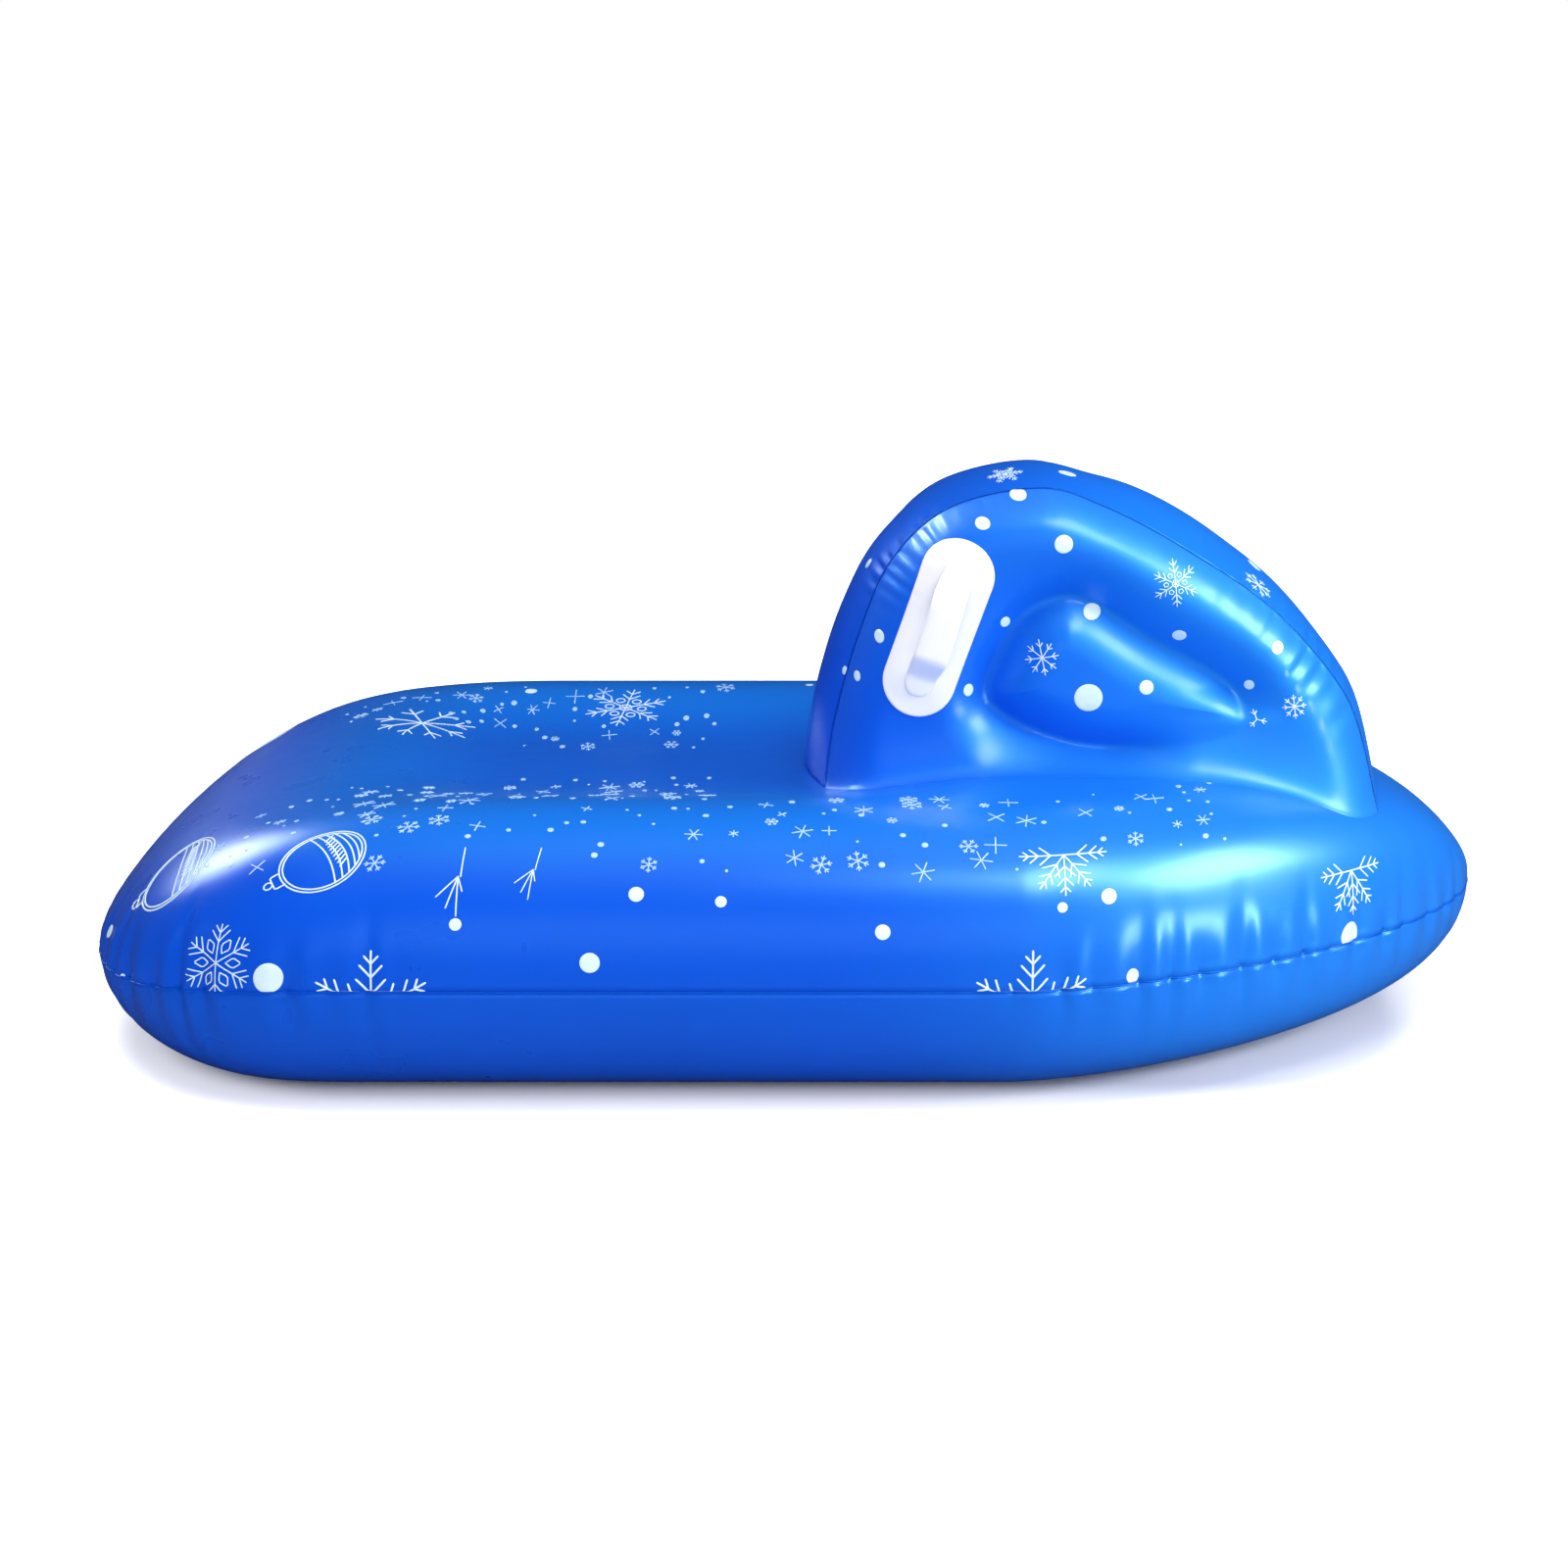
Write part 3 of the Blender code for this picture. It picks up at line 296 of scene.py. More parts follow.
# Lamps: name, place, target, size, power, whether they light, whether films mirror them, spread
LAMPS = (
    ("overhead_lamp", (0.1, -0.2, 2.6), (0.0, 0.0, 0.1), (2.6, 2.0), 46.0, True, False),
    ("front_lamp", (0.2, -2.8, 1.1), (0.0, 0.0, 0.15), (2.4, 1.2), 38.0, True, False),
    ("bow_lamp", (2.2, -0.9, 1.1), (0.35, 0.0, 0.15), (0.7, 0.7), 30.0, True, False),
    ("rear_lamp", (-2.1, -0.8, 0.9), (-0.45, -0.1, 0.12), (0.5, 0.5), 4.0, True, False),
    ("rear_card", (-1.50, 1.10, 1.00), (-0.52, -0.21, 0.17), (1.05, 0.90), 1.05, False, True, 30.0),
    ("seam_card", (-1.12, 0.51, 1.72), (0.11, -0.08, 0.42), (0.50, 0.35), 0.80, False, True, 20.0),
    ("bow_card", (1.72, -0.62, 1.45), (0.30, -0.24, 0.18), (1.0, 0.7), 70.0, False, True),
    ("bow_low_card", (1.95, -1.41, 0.40), (0.35, -0.25, 0.13), (0.35, 0.5), 22.0, False, True),
    ("hood_card", (0.84, -1.03, 1.98), (0.24, -0.10, 0.42), (0.9, 0.6), 44.0, False, True),
)

# Fineness of the tables and grids
TABLE_STEP = 0.003
TABLE_CLIMB = 0.420
STRETCH_PROBE = 0.004
SEAM_CLEAR = 0.0012
OUTLINE_STEPS = 320
QUARTER_STEPS = 240
SPLINE_STEPS = 160
KNOT_STEPS = 24
POINT_BLOCK = 8000
MERGE = 0.00002
INK_MERGE = 0.000004
TOP_ROWS = (34, 24)
LOW_ROWS = (30, 10)
BASE_COLUMNS = (0, 150, 205, 420)
BASE_COLUMN_MARGINS = (0.03, 0.02)
WALL_REACH = 1.15
WALL_REACH_LIMIT = 0.75
PANEL_EDGE_STEPS = (260, 120)
PANEL_ROWS = 54
PANEL_ROW_POWER = 1.25
CORE_STEPS = 16
NORMAL_STEP = 0.0015
BAND_ROWS = 41
BAND_COLUMNS = 330
BULGE_STEPS = 600
BEAD_SIDES = 10
BEAD_TAPER = 2.0
LAST_CELL = 1.001
UP_PROBE = (2, 40)
END_STEPS = 60


def smooth(t):
    """Ease from 0 to 1: three times the square less twice the cube."""
    t = np.clip(t, 0.0, 1.0)
    return t * t * (3.0 - 2.0 * t)


def unit(vectors):
    """The same vectors with length one."""
    return vectors / np.maximum(np.linalg.norm(vectors, axis=-1, keepdims=True), 1e-12)


def run_of(line):
    """Distance along a polyline at each of its points."""
    return np.concatenate([[0.0], np.cumsum(np.linalg.norm(np.diff(line, axis=0), axis=1))])


def at_run(line, run):
    """Points of a polyline at the given distances along it."""
    total = run_of(line)
    return np.stack([np.interp(run, total, line[:, k]) for k in range(line.shape[1])], axis=-1)


def even_spacing(line, count):
    """The same polyline with its points spaced evenly."""
    return at_run(line, np.linspace(0.0, run_of(line)[-1], count))


def spline(points, steps, closed=False):
    """Catmull-Rom curve: a cubic between two points, with slopes from their neighbours."""
    p = np.array(points, float)
    if closed:
        p = np.vstack([p[-1], p, p[0], p[1]])
    else:
        p = np.vstack([2 * p[0] - p[1], p, 2 * p[-1] - p[-2]])
    t = np.linspace(0.0, 1.0, KNOT_STEPS, endpoint=False)[:, None]
    parts = []
    for a, b, c, d in zip(p[:-3], p[1:-2], p[2:-1], p[3:]):
        parts.append(0.5 * (2 * b + (c - a) * t + (2 * a - 5 * b + 4 * c - d) * t ** 2
                            + (3 * b - a - 3 * c + d) * t ** 3))
    parts.append(p[-2][None, :])
    return even_spacing(np.vstack(parts), steps)


def nearest_on(points, line):
    """Shortest distance from each point to a polyline, and how far along it that is, in blocks."""
    points = np.asarray(points, float).reshape(-1, 2)
    total = run_of(line)
    a, b = line[None, :-1], line[None, 1:]
    along = b - a
    square = (along ** 2).sum(2)
    gaps, runs = [], []
    for block in np.array_split(points, max(len(points) // POINT_BLOCK, 1)):
        p = block[:, None, :]
        t = np.clip(((p - a) * along).sum(2) / square, 0.0, 1.0)
        gap = ((p - (a + along * t[..., None])) ** 2).sum(2)
        best = gap.argmin(1)
        rows = np.arange(len(block))
        gaps.append(np.sqrt(gap[rows, best]))
        runs.append(total[best] + t[rows, best] * (total[best + 1] - total[best]))
    return np.concatenate(gaps), np.concatenate(runs)


def inside(points, line):
    """True for points inside a closed line: a ray along the first axis crosses it an odd number
    of times.
    """
    p = np.asarray(points, float).reshape(-1, 1, 2)
    a, b = line[None, :-1], line[None, 1:]
    straddles = (a[..., 1] > p[..., 1]) != (b[..., 1] > p[..., 1])
    rise = np.where(straddles, b[..., 1] - a[..., 1], 1.0)
    crossing = a[..., 0] + (p[..., 1] - a[..., 1]) * (b[..., 0] - a[..., 0]) / rise
    return (straddles & (p[..., 0] < crossing)).sum(1) % 2 == 1


def half_outline(count):
    """Half the plan: a superellipse quarter at the rear, a straight side, another at the bow."""
    turn = np.linspace(0.0, math.pi / 2, QUARTER_STEPS)
    half = BASE_WIDTH / 2
    rear = np.stack([REAR_ROUND_LENGTH * (1 - np.cos(turn) ** (2 / REAR_SHAPE[0])),
                     half * np.sin(turn) ** (2 / REAR_SHAPE[1])], axis=1)
    bow = np.stack([SLED_LENGTH - BOW_LENGTH * (1 - np.sin(turn) ** (2 / BOW_SHAPE[0])),
                    half * np.abs(np.cos(turn)) ** (2 / BOW_SHAPE[1])], axis=1)
    rear[0] = (0.0, 0.0)
    bow[-1] = (SLED_LENGTH, 0.0)
    return even_spacing(np.vstack([rear, bow]), count)


OUTLINE = half_outline(OUTLINE_STEPS)
FINE_OUTLINE = half_outline(4 * OUTLINE_STEPS)
HALF_RUN = run_of(FINE_OUTLINE)[-1]


def bow_share(x):
    """Share of the way into the bow."""
    return np.clip((x - SLED_LENGTH + BOW_LENGTH) / BOW_LENGTH, 0.0, 1.0)


def seam_height(x):
    """Level along the sides, falling with the square of the way into the rear and the bow."""
    rear = np.clip(1 - x / REAR_ROUND_LENGTH, 0.0, 1.0)
    return SEAM_HEIGHT - SEAM_REAR_DIP * rear ** 2 - SEAM_BOW_DIP * bow_share(x) ** 2


def rim_height(x):
    """Level, less a power of the way into the rear and another of the way into the bow."""
    rear = np.clip(1 - x / REAR_DROP_LENGTH, 0.0, 1.0)
    return (RIM_HEIGHT - REAR_DROP * rear ** REAR_DROP_POWER
            - BOW_DROP * bow_share(x) ** BOW_DROP_POWER)


def crowned_inset(x, y):
    """Distance from the outline, times one less half its share of that at the middle line."""
    x, y = np.broadcast_arrays(np.asarray(x, float), np.abs(np.asarray(y, float)))
    places = np.stack([x.ravel(), y.ravel()], axis=1)
    inset = nearest_on(places, OUTLINE)[0].reshape(x.shape)
    spine = np.stack([np.maximum(x, SLED_LENGTH / 2).ravel(), np.zeros(x.size)], axis=1)
    reach = nearest_on(spine, OUTLINE)[0].reshape(x.shape)
    return inset * (1 - np.minimum(inset / np.maximum(reach, FILM), 1.0) / 2)


def wall_share(inset, x):
    """Quarter circle: the share of full height reached at an inset from the outline."""
    reach = SIDE_ROUND + (BOW_TIP_ROUND - SIDE_ROUND) * bow_share(x)
    t = np.clip(inset / reach, 0.0, 1.0)
    return np.sqrt(1.0 - (1.0 - t) ** 2)


def deck_height(x, y):
    """Seam height plus the wall's share of the rim's rise, less the dish of the seat."""
    x = np.asarray(x, float)
    inset = crowned_inset(x, y)
    hollow = smooth((inset - SIDE_ROUND) / (BASE_WIDTH / 4 - SIDE_ROUND))
    along = smooth((x - DISH_REAR) / DISH_EASE) * smooth((DISH_FRONT - x) / DISH_EASE)
    full = seam_height(x) + (rim_height(x) - seam_height(x)) * wall_share(inset, x)
    return full - DISH_DEPTH * hollow * along


def keel_height(x, y):
    """Seam height less the wall's share of the fall to the ground, which lifts under the bow."""
    x = np.asarray(x, float)
    low = KEEL_RISE * bow_share(x) ** KEEL_POWER
    return seam_height(x) - (seam_height(x) - low) * wall_share(crowned_inset(x, y), x)


def grid_normals(grid, wrap):
    """Cross product of the differences along both directions of a grid, at length one."""
    if wrap:
        across = np.roll(grid, -1, axis=1) - np.roll(grid, 1, axis=1)
    else:
        across = np.gradient(grid, axis=1)
    return unit(np.cross(across, np.gradient(grid, axis=0)))


def grid_faces(rows, columns, wrap):
    """Corner numbers of the quads over a grid."""
    r = np.arange(rows - 1)[:, None]
    c = np.arange(columns if wrap else columns - 1)[None, :]
    d = (c + 1) % columns
    quads = np.stack([r * columns + c, r * columns + d, (r + 1) * columns + d,
                      (r + 1) * columns + c], axis=-1)
    return quads.reshape(-1, 4)


def mesh_from(name, points, quads, merge=MERGE):
    """Mesh of quads. Points that coincide are merged, so that collapsed quads close up."""
    points = np.array(points, float).reshape(-1, 3)
    points[:, 0] -= SLED_LENGTH / 2
    mesh = bpy.data.meshes.new(name)
    mesh.vertices.add(len(points))
    mesh.vertices.foreach_set("co", points.astype(np.float32).ravel())
    mesh.loops.add(quads.size)
    mesh.loops.foreach_set("vertex_index", quads.astype(np.int32).ravel())
    mesh.polygons.add(len(quads))
    mesh.polygons.foreach_set("loop_start", np.arange(0, quads.size, 4, dtype=np.int32))
    mesh.update(calc_edges=True)
    bm = bmesh.new()
    bm.from_mesh(mesh)
    bmesh.ops.remove_doubles(bm, verts=bm.verts, dist=merge)
    bm.to_mesh(mesh)
    bm.free()
    mesh.validate()
    return mesh


def grid_mesh(name, grid, wrap=True):
    """Mesh over all quads of a grid."""
    return mesh_from(name, grid, grid_faces(*grid.shape[:2], wrap))


def look_outward(mesh, centre):
    """Turn an open sheet so that it looks away from a point."""
    def read(key, width):
        values = np.zeros(len(mesh.polygons) * width)
        mesh.polygons.foreach_get(key, values)
        return values.reshape(-1, width)

    outward = (read("normal", 3) * (read("center", 3) - np.array(centre))).sum(1)
    if (outward * read("area", 1)[:, 0]).sum() < 0:
        mesh.flip_normals()


def close_normals(mesh):
    """Outward normals on a closed mesh."""
    bm = bmesh.new()
    bm.from_mesh(mesh)
    bmesh.ops.recalc_face_normals(bm, faces=bm.faces)
    bm.to_mesh(mesh)
    bm.free()


def add_piece(name, mesh, material, body, nodes=()):
    """Link a finished mesh, ride it on its body and hide the nodes that it stands for."""
    mesh.materials.append(material)
    mesh.shade_smooth()
    thing = bpy.data.objects.new(name, mesh)
    bpy.context.scene.collection.objects.link(thing)
    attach(thing, body)
    if nodes:
        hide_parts(*nodes)
    return thing


def add_sheet(name, grid, wrap, film, node, centre):
    """A sheet's skin over a grid, looking away from a point, with its wall inward."""
    mesh = grid_mesh(name, grid, wrap)
    look_outward(mesh, centre)
    skin = add_piece(name, mesh, film, "sled", (node,))
    shell = skin.modifiers.new("thickness", "SOLIDIFY")
    shell.thickness = FILM
    shell.offset = -1.0


def picture_place(points):
    """Pixels and depths of points: across and upward over depth, times the lens."""
    q = points - np.array(CAMERA_PLACE) - np.array((SLED_LENGTH / 2, 0.0, 0.0))
    cos, sin = math.cos(CAMERA_DOWN), math.sin(CAMERA_DOWN)
    depth = q[..., 1] * cos - q[..., 2] * sin
    scale = CAMERA_LENS / SENSOR * PICTURE_PX / depth
    middle = PICTURE_PX * (0.5 - CAMERA_SHIFT[0]), PICTURE_PX * (0.5 + CAMERA_SHIFT[1])
    across = middle[0] + scale * q[..., 0]
    down = middle[1] - scale * (q[..., 2] * cos + q[..., 1] * sin)
    return np.stack([across, down], axis=-1), depth


def tabled(points, start, step, centre):
    """A sheet kept as points at even steps of its two coordinates, with its outward normals."""
    points = np.asarray(points, float)
    normals = grid_normals(points, False)
    if ((points - np.array(centre)) * normals).sum() < 0:
        normals = -normals
    pixels, depth = picture_place(points)
    eye = np.array(CAMERA_PLACE) + np.array((SLED_LENGTH / 2, 0.0, 0.0))
    faces = ((eye - points) * normals).sum(-1) > 0
    return {"points": points, "normals": normals, "pixels": pixels, "depth": depth,
            "start": np.array(start), "step": np.array(step), "faces": faces}


def on_table(sheet, a, b, out):
    """Places on a tabled sheet by straight steps between its points, moved out by a distance."""
    shape = sheet["points"].shape
    fa = np.clip((a - sheet["start"][0]) / sheet["step"][0], 0.0, shape[0] - LAST_CELL)
    fb = np.clip((b - sheet["start"][1]) / sheet["step"][1], 0.0, shape[1] - LAST_CELL)
    i, j = fa.astype(int), fb.astype(int)
    u, v = (fa - i)[..., None], (fb - j)[..., None]

    def between(table):
        low = table[i, j] * (1 - v) + table[i, j + 1] * v
        high = table[i + 1, j] * (1 - v) + table[i + 1, j + 1] * v
        return low * (1 - u) + high * u

    return between(sheet["points"]) + unit(between(sheet["normals"])) * np.asarray(out)[..., None]


def spot_on(sheets, across, down):
    """Where the camera sees a pixel: the sheet, its two coordinates and metres to a pixel there."""
    best = None
    for sheet in sheets:
        gap = np.hypot(*(sheet["pixels"] - np.array((across, down))).transpose(2, 0, 1))
        gap = np.where(sheet["faces"], gap, np.inf)
        i, j = np.unravel_index(gap.argmin(), gap.shape)
        if best is None or gap[i, j] < best[0]:
            metres = sheet["depth"][i, j] / (CAMERA_LENS / SENSOR * PICTURE_PX)
            place = sheet["start"] + sheet["step"] * (i, j)
            best = (gap[i, j], sheet, place, metres)
    return best[1:]


def turned(line, degrees):
    """A flat line turned anticlockwise."""
    turn = math.radians(degrees)
    cos, sin = math.cos(turn), math.sin(turn)
    return np.asarray(line, float) @ np.array(((cos, sin), (-sin, cos)))


def ring(radius, centre=(0.0, 0.0), steps=40):
    """A circle as a closed line."""
    turn = np.linspace(0.0, 2 * math.pi, steps + 1)
    return np.stack([centre[0] + radius * np.cos(turn), centre[1] + radius * np.sin(turn)], axis=1)


def sprig(reach, twigs):
    """An arm along +Y with pairs of twigs at shares of its length."""
    lines = [np.array(((0.0, 0.0), (0.0, reach)))]
    for share, length in twigs:
        for way in (-1.0, 1.0):
            tip = (way * length * math.sin(TWIG_ANGLE),
                   share * reach + length * math.cos(TWIG_ANGLE))
            lines.append(np.array(((0.0, share * reach), tip)))
    return lines


def flake(kind):
    """Lines of a snowflake one unit across, of one of the pattern's kinds."""
    if kind == "toes":
        return [np.array(((0.0, 0.0), (reach * math.sin(way), -reach * math.cos(way))))
                for reach, way in TOES] + [np.array(TOES_STALK)]
    if kind == "sunk":
        return [turned(line, 60 * k) - (0.0, SUNK_DROP)
                for k in range(6) for line in sprig(0.5, RICH_TWIGS)]
    if kind == "lower":
        return [turned(line, way) for way in LOWER_WAYS for line in sprig(0.5, RICH_TWIGS)]
    arms, twigs = FLAKE_ARMS[kind]
    lines = [turned(line, 360 / arms * k) for k in range(arms) for line in sprig(0.5, twigs)]
    if kind == "petals":
        lines += [turned(PETAL, 60 * k + 30) for k in range(6)]
    if kind in {"ornate", "crown"}:
        loop = ring(FLAKE_LOOP, (0.0, FLAKE_LOOP_OUT), 16)
        lines += [turned(loop, 60 * k + 30) for k in range(6)] + [ring(FLAKE_HEART, steps=18)]
    if kind == "crown":
        lines = [line * (2.0, 1.0) for line in lines]
    return lines


def bauble(turn):
    """Outline of a tree bauble one unit across: two rims, hatched bands, a cap and its loop."""
    lines = [ring(radius) for radius in BAUBLE_RADII]
    for level, bow in BAUBLE_BANDS:
        half = math.sqrt(BAUBLE_RADII[1] ** 2 - level ** 2)
        x = np.linspace(-half, half, 24)
        lines.append(np.stack([x, level - bow * (1 - (x / half) ** 2)], axis=1))
    high, low = HATCH_LEVELS
    lines += [np.array(((x, high), (x + HATCH_LEAN, low)))
              for x in np.linspace(-HATCH_HALF, HATCH_HALF, HATCH_COUNT)]
    lines += [np.array(BAUBLE_CAP), ring(BAUBLE_LOOP, (0.0, BAUBLE_LOOP_OUT), 16)]
    return [turned(line, turn) for line in lines]


def fleck(kind):
    """Lines of a small crystal one unit across: six bare arms, six with twigs, or four."""
    if kind == 1:
        return [turned(line, 60 * k) for k in range(6) for line in sprig(0.5, FLECK_TWIGS)]
    arms = 4 if kind == 2 else 6
    return [turned(np.array(((0.0, 0.0), (0.0, 0.5))), 360 / arms * k) for k in range(arms)]


def stretch_at(sheet, place):
    """Metres on a tabled sheet to a metre of each of its coordinates, at one place."""
    inner = max(place[1], sheet["start"][1] + STRETCH_PROBE)
    return [np.linalg.norm(on_table(sheet, place[0] + a, inner + b, 0.0)
                           - on_table(sheet, place[0] - a, inner - b, 0.0)) / (2 * STRETCH_PROBE)
            for a, b in ((STRETCH_PROBE, 0.0), (0.0, STRETCH_PROBE))]


def wall_tables(grid, climb):
    """The base's top sheet as tables over the way round the outline and the climb from the seam."""
    s = base_columns()
    half = len(s)
    levels = np.arange(0.0, TABLE_CLIMB, TABLE_STEP)
    runs = np.arange(0.0, HALF_RUN, TABLE_STEP)
    ring_of = grid.shape[1]
    found = []
    for columns in (np.arange(half), (-np.arange(half)) % ring_of):
        part, rise = grid[:, columns], climb[:, columns]
        column = np.stack([at_levels(part[:, k], rise[:, k], levels) for k in range(half)])
        table = np.stack([[np.interp(runs, s, column[:, j, c]) for j in range(len(levels))]
                          for c in range(3)], axis=-1).transpose(1, 0, 2)
        sheet = tabled(table, (0.0, 0.0), (TABLE_STEP, TABLE_STEP), (SLED_LENGTH / 2, 0.0, 0.0))
        sheet["least"] = SEAM_CLEAR
        found.append(sheet)
    return found


def at_levels(line, rise, levels):
    """Points of a line where its rise reaches the given levels."""
    return np.stack([np.interp(levels, rise, line[:, c]) for c in range(3)], axis=-1)


def panel_table(side):
    """A hood panel as a table over its side view's two directions."""
    x = np.arange(HOOD_REAR, HOOD_REAR + HOOD_LENGTH, TABLE_STEP)
    z = np.arange(HOOD_FOOT + TABLE_STEP, HOOD_FOOT + HOOD_RISE, TABLE_STEP)
    px, pz = np.meshgrid(x, z, indexing="ij")
    points = panel_surface(px, pz, side)
    sheet = tabled(points, (x[0], z[0]), (TABLE_STEP, TABLE_STEP), (HOOD_REAR, 0.0, HOOD_FOOT))
    places = np.stack([px.ravel(), pz.ravel()], axis=1)
    loop = np.vstack([HOOD_ARCH, HOOD_ARCH[:1]])
    sheet["faces"] = sheet["faces"] & inside(places, loop).reshape(px.shape)
    sheet["least"] = z[0]
    return sheet


def band_table(grid):
    """The hood's band as a table over the way across it and the way along its arch."""
    width = (BAND_WIDTH_REAR + BAND_WIDTH_FRONT) / 2
    step = (width / (grid.shape[0] - 1), ARCH_RUN / (grid.shape[1] - 1))
    centre = (HOOD_REAR + HOOD_LENGTH / 2, 0.0, HOOD_FOOT)
    sheet = tabled(grid, (-width / 2, 0.0), step, centre)
    sheet["least"] = 0.0
    return sheet


class Ink:
    """Gathers the thin closed strokes and dots of one sheet's print."""

    def __init__(self):
        self.points = []
        self.quads = []
        self.count = 0

    def add(self, sheet, place, plan, out):
        """Lay a closed grid of flat offsets on a sheet, scaled so that they keep their size."""
        stretch = stretch_at(sheet, place)
        a = place[0] + plan[..., 0] / max(stretch[0], INK_LEAST_STRETCH)
        b = place[1] + plan[..., 1] / max(stretch[1], INK_LEAST_STRETCH)
        b = np.maximum(b, sheet["least"])
        points = on_table(sheet, a, b, out)
        rows, columns = plan.shape[:2]
        self.points.append(points.reshape(-1, 3))
        self.quads.append(grid_faces(rows, columns, True) + self.count)
        self.count += rows * columns

    def stroke(self, sheet, place, line, width):
        """A flat bar along a line with rounded ends, embedded in the sheet by its lower face."""
        run = run_of(line)[-1]
        line = even_spacing(line, max(int(run / INK_STEP) + 2, 4))
        if (place[1] + line[:, 1] < sheet["least"]).all():
            return
        tangent = unit(np.gradient(line, axis=0))
        size = np.ones(len(line))

        def longer(by, share):
            """The bar with one more point at each end, of a share of its width."""
            ends = line[:1] - tangent[:1] * by, line[-1:] + tangent[-1:] * by
            return (np.vstack([ends[0], line, ends[1]]),
                    np.vstack([tangent[:1], tangent, tangent[-1:]]),
                    np.concatenate([[share], size, [share]]))

        if np.linalg.norm(line[0] - line[-1]) >= width / 4:
            line, tangent, size = longer(width / 2, INK_END_SHARE)
        line, tangent, size = longer(width * INK_CAP_SHARE, 0.0)
        side = np.stack([-tangent[:, 1], tangent[:, 0]], axis=1)
        across = np.array(STROKE_SHARES) * width
        plan = line[:, None] + side[:, None] * (across[None] * size[:, None])[..., None]
        out = np.broadcast_to(np.array((-INK_SINK, INK_LIFT, INK_LIFT, -INK_SINK)), plan.shape[:2])
        self.add(sheet, place, plan, np.where(size[:, None] > 0, out, 0.0))

    def dot(self, sheet, place, radius, stretch=1.0):
        """A low disc: rings from its middle over the rim and back underneath."""
        level = np.array(DOT_LEVELS)
        turn = np.linspace(0.0, 2 * math.pi, DOT_STEPS, endpoint=False)
        rim = np.stack([np.cos(turn), np.sin(turn) * stretch], axis=1) * radius
        plan = np.array(DOT_SHARES)[:, None, None] * rim[None]
        height = np.where(level > 0, level * INK_LIFT, level * INK_SINK)
        self.add(sheet, place, plan, np.broadcast_to(height[:, None], plan.shape[:2]))

    def piece(self, name, material):
        """All of the gathered ink as one piece."""
        mesh = mesh_from(name, np.vstack(self.points), np.vstack(self.quads), merge=INK_MERGE)
        close_normals(mesh)
        return add_piece(name, mesh, material, "sled")


def tube(name, path, radius, closed):
    """Round section carried along a path, on a frame of its tangent and the upright."""
    path = np.asarray(path, float)
    if closed:
        tangent = unit(np.roll(path, -1, axis=0) - np.roll(path, 1, axis=0))
    else:
        tangent = unit(np.gradient(path, axis=0))
    side = unit(np.cross(tangent, (0.0, 0.0, 1.0) + 0 * tangent))
    up = np.cross(side, tangent)
    turn = np.linspace(0.0, 2 * math.pi, BEAD_SIDES, endpoint=False)[:, None, None]
    taper = np.ones(len(path))
    if not closed:
        ends = np.minimum(np.arange(len(path)), np.arange(len(path))[::-1])
        taper = np.minimum(ends / BEAD_TAPER, 1.0)
    size = (radius * taper)[None, :, None]
    grid = path[None] + size * (np.cos(turn) * side[None] + np.sin(turn) * up[None])
    points = grid.transpose(1, 0, 2)
    if closed:
        points = np.concatenate([points, points[:1]], axis=0)
    mesh = grid_mesh(name, points)
    close_normals(mesh)
    return mesh


def puckers(along, away, runs, seed):
    """Valleys square to a seam with rounded lobes between them, fading away from it.

    Between two valleys the depth is one less the sine of the way across, squared near the
    seam and turning into a cosine wave farther off. Its strength and length vary by valley.
    """
    rng = np.random.default_rng(seed)
    along, away = np.broadcast_arrays(along, away)
    total = np.zeros(along.shape)
    for start, end, step, depth, length in runs:
        places = np.arange(start, end, step)
        places = places + rng.uniform(-PUCKER_JITTER, PUCKER_JITTER, len(places)) * step
        share = np.clip((places - start) / (end - start), PUCKER_END_SHARE, 1 - PUCKER_END_SHARE)
        swell = np.sin(share * math.pi) ** PUCKER_END_POWER
        strength = depth * swell * rng.uniform(PUCKER_LEAST_DEPTH, 1.0, len(places))
        reach = length * rng.uniform(PUCKER_LEAST_LENGTH, 1.0, len(places))
        k = np.clip(np.searchsorted(places, along) - 1, 0, len(places) - 2)
        t = np.clip((along - places[k]) / (places[k + 1] - places[k]), 0.0, 1.0)
        sharp = (1 - np.sin(math.pi * t)) ** 2
        soft = 0.5 + 0.5 * np.cos(2 * math.pi * t)
        valley = sharp + (soft - sharp) * smooth(away / PUCKER_SOFTENING)
        here = strength[k] + (strength[k + 1] - strength[k]) * t
        far = reach[k] + (reach[k + 1] - reach[k]) * smooth(t)
        within = (smooth((along - places[0]) / step + 0.5)
                  * smooth((places[-1] - along) / step + 0.5))
        total += within * here * valley * np.clip(1 - away / far, 0.0, 1.0) ** PUCKER_FADE
    return total


def base_columns():
    """Distances along the half outline: close together round the ends, wide along the side."""
    rear, front = BASE_COLUMN_MARGINS
    stops = (0.0, BASE_PUCKERS[0][1] + rear, BASE_PUCKERS[1][0] - front, HALF_RUN)
    return np.interp(np.arange(BASE_COLUMNS[-1] + 1), BASE_COLUMNS, stops)


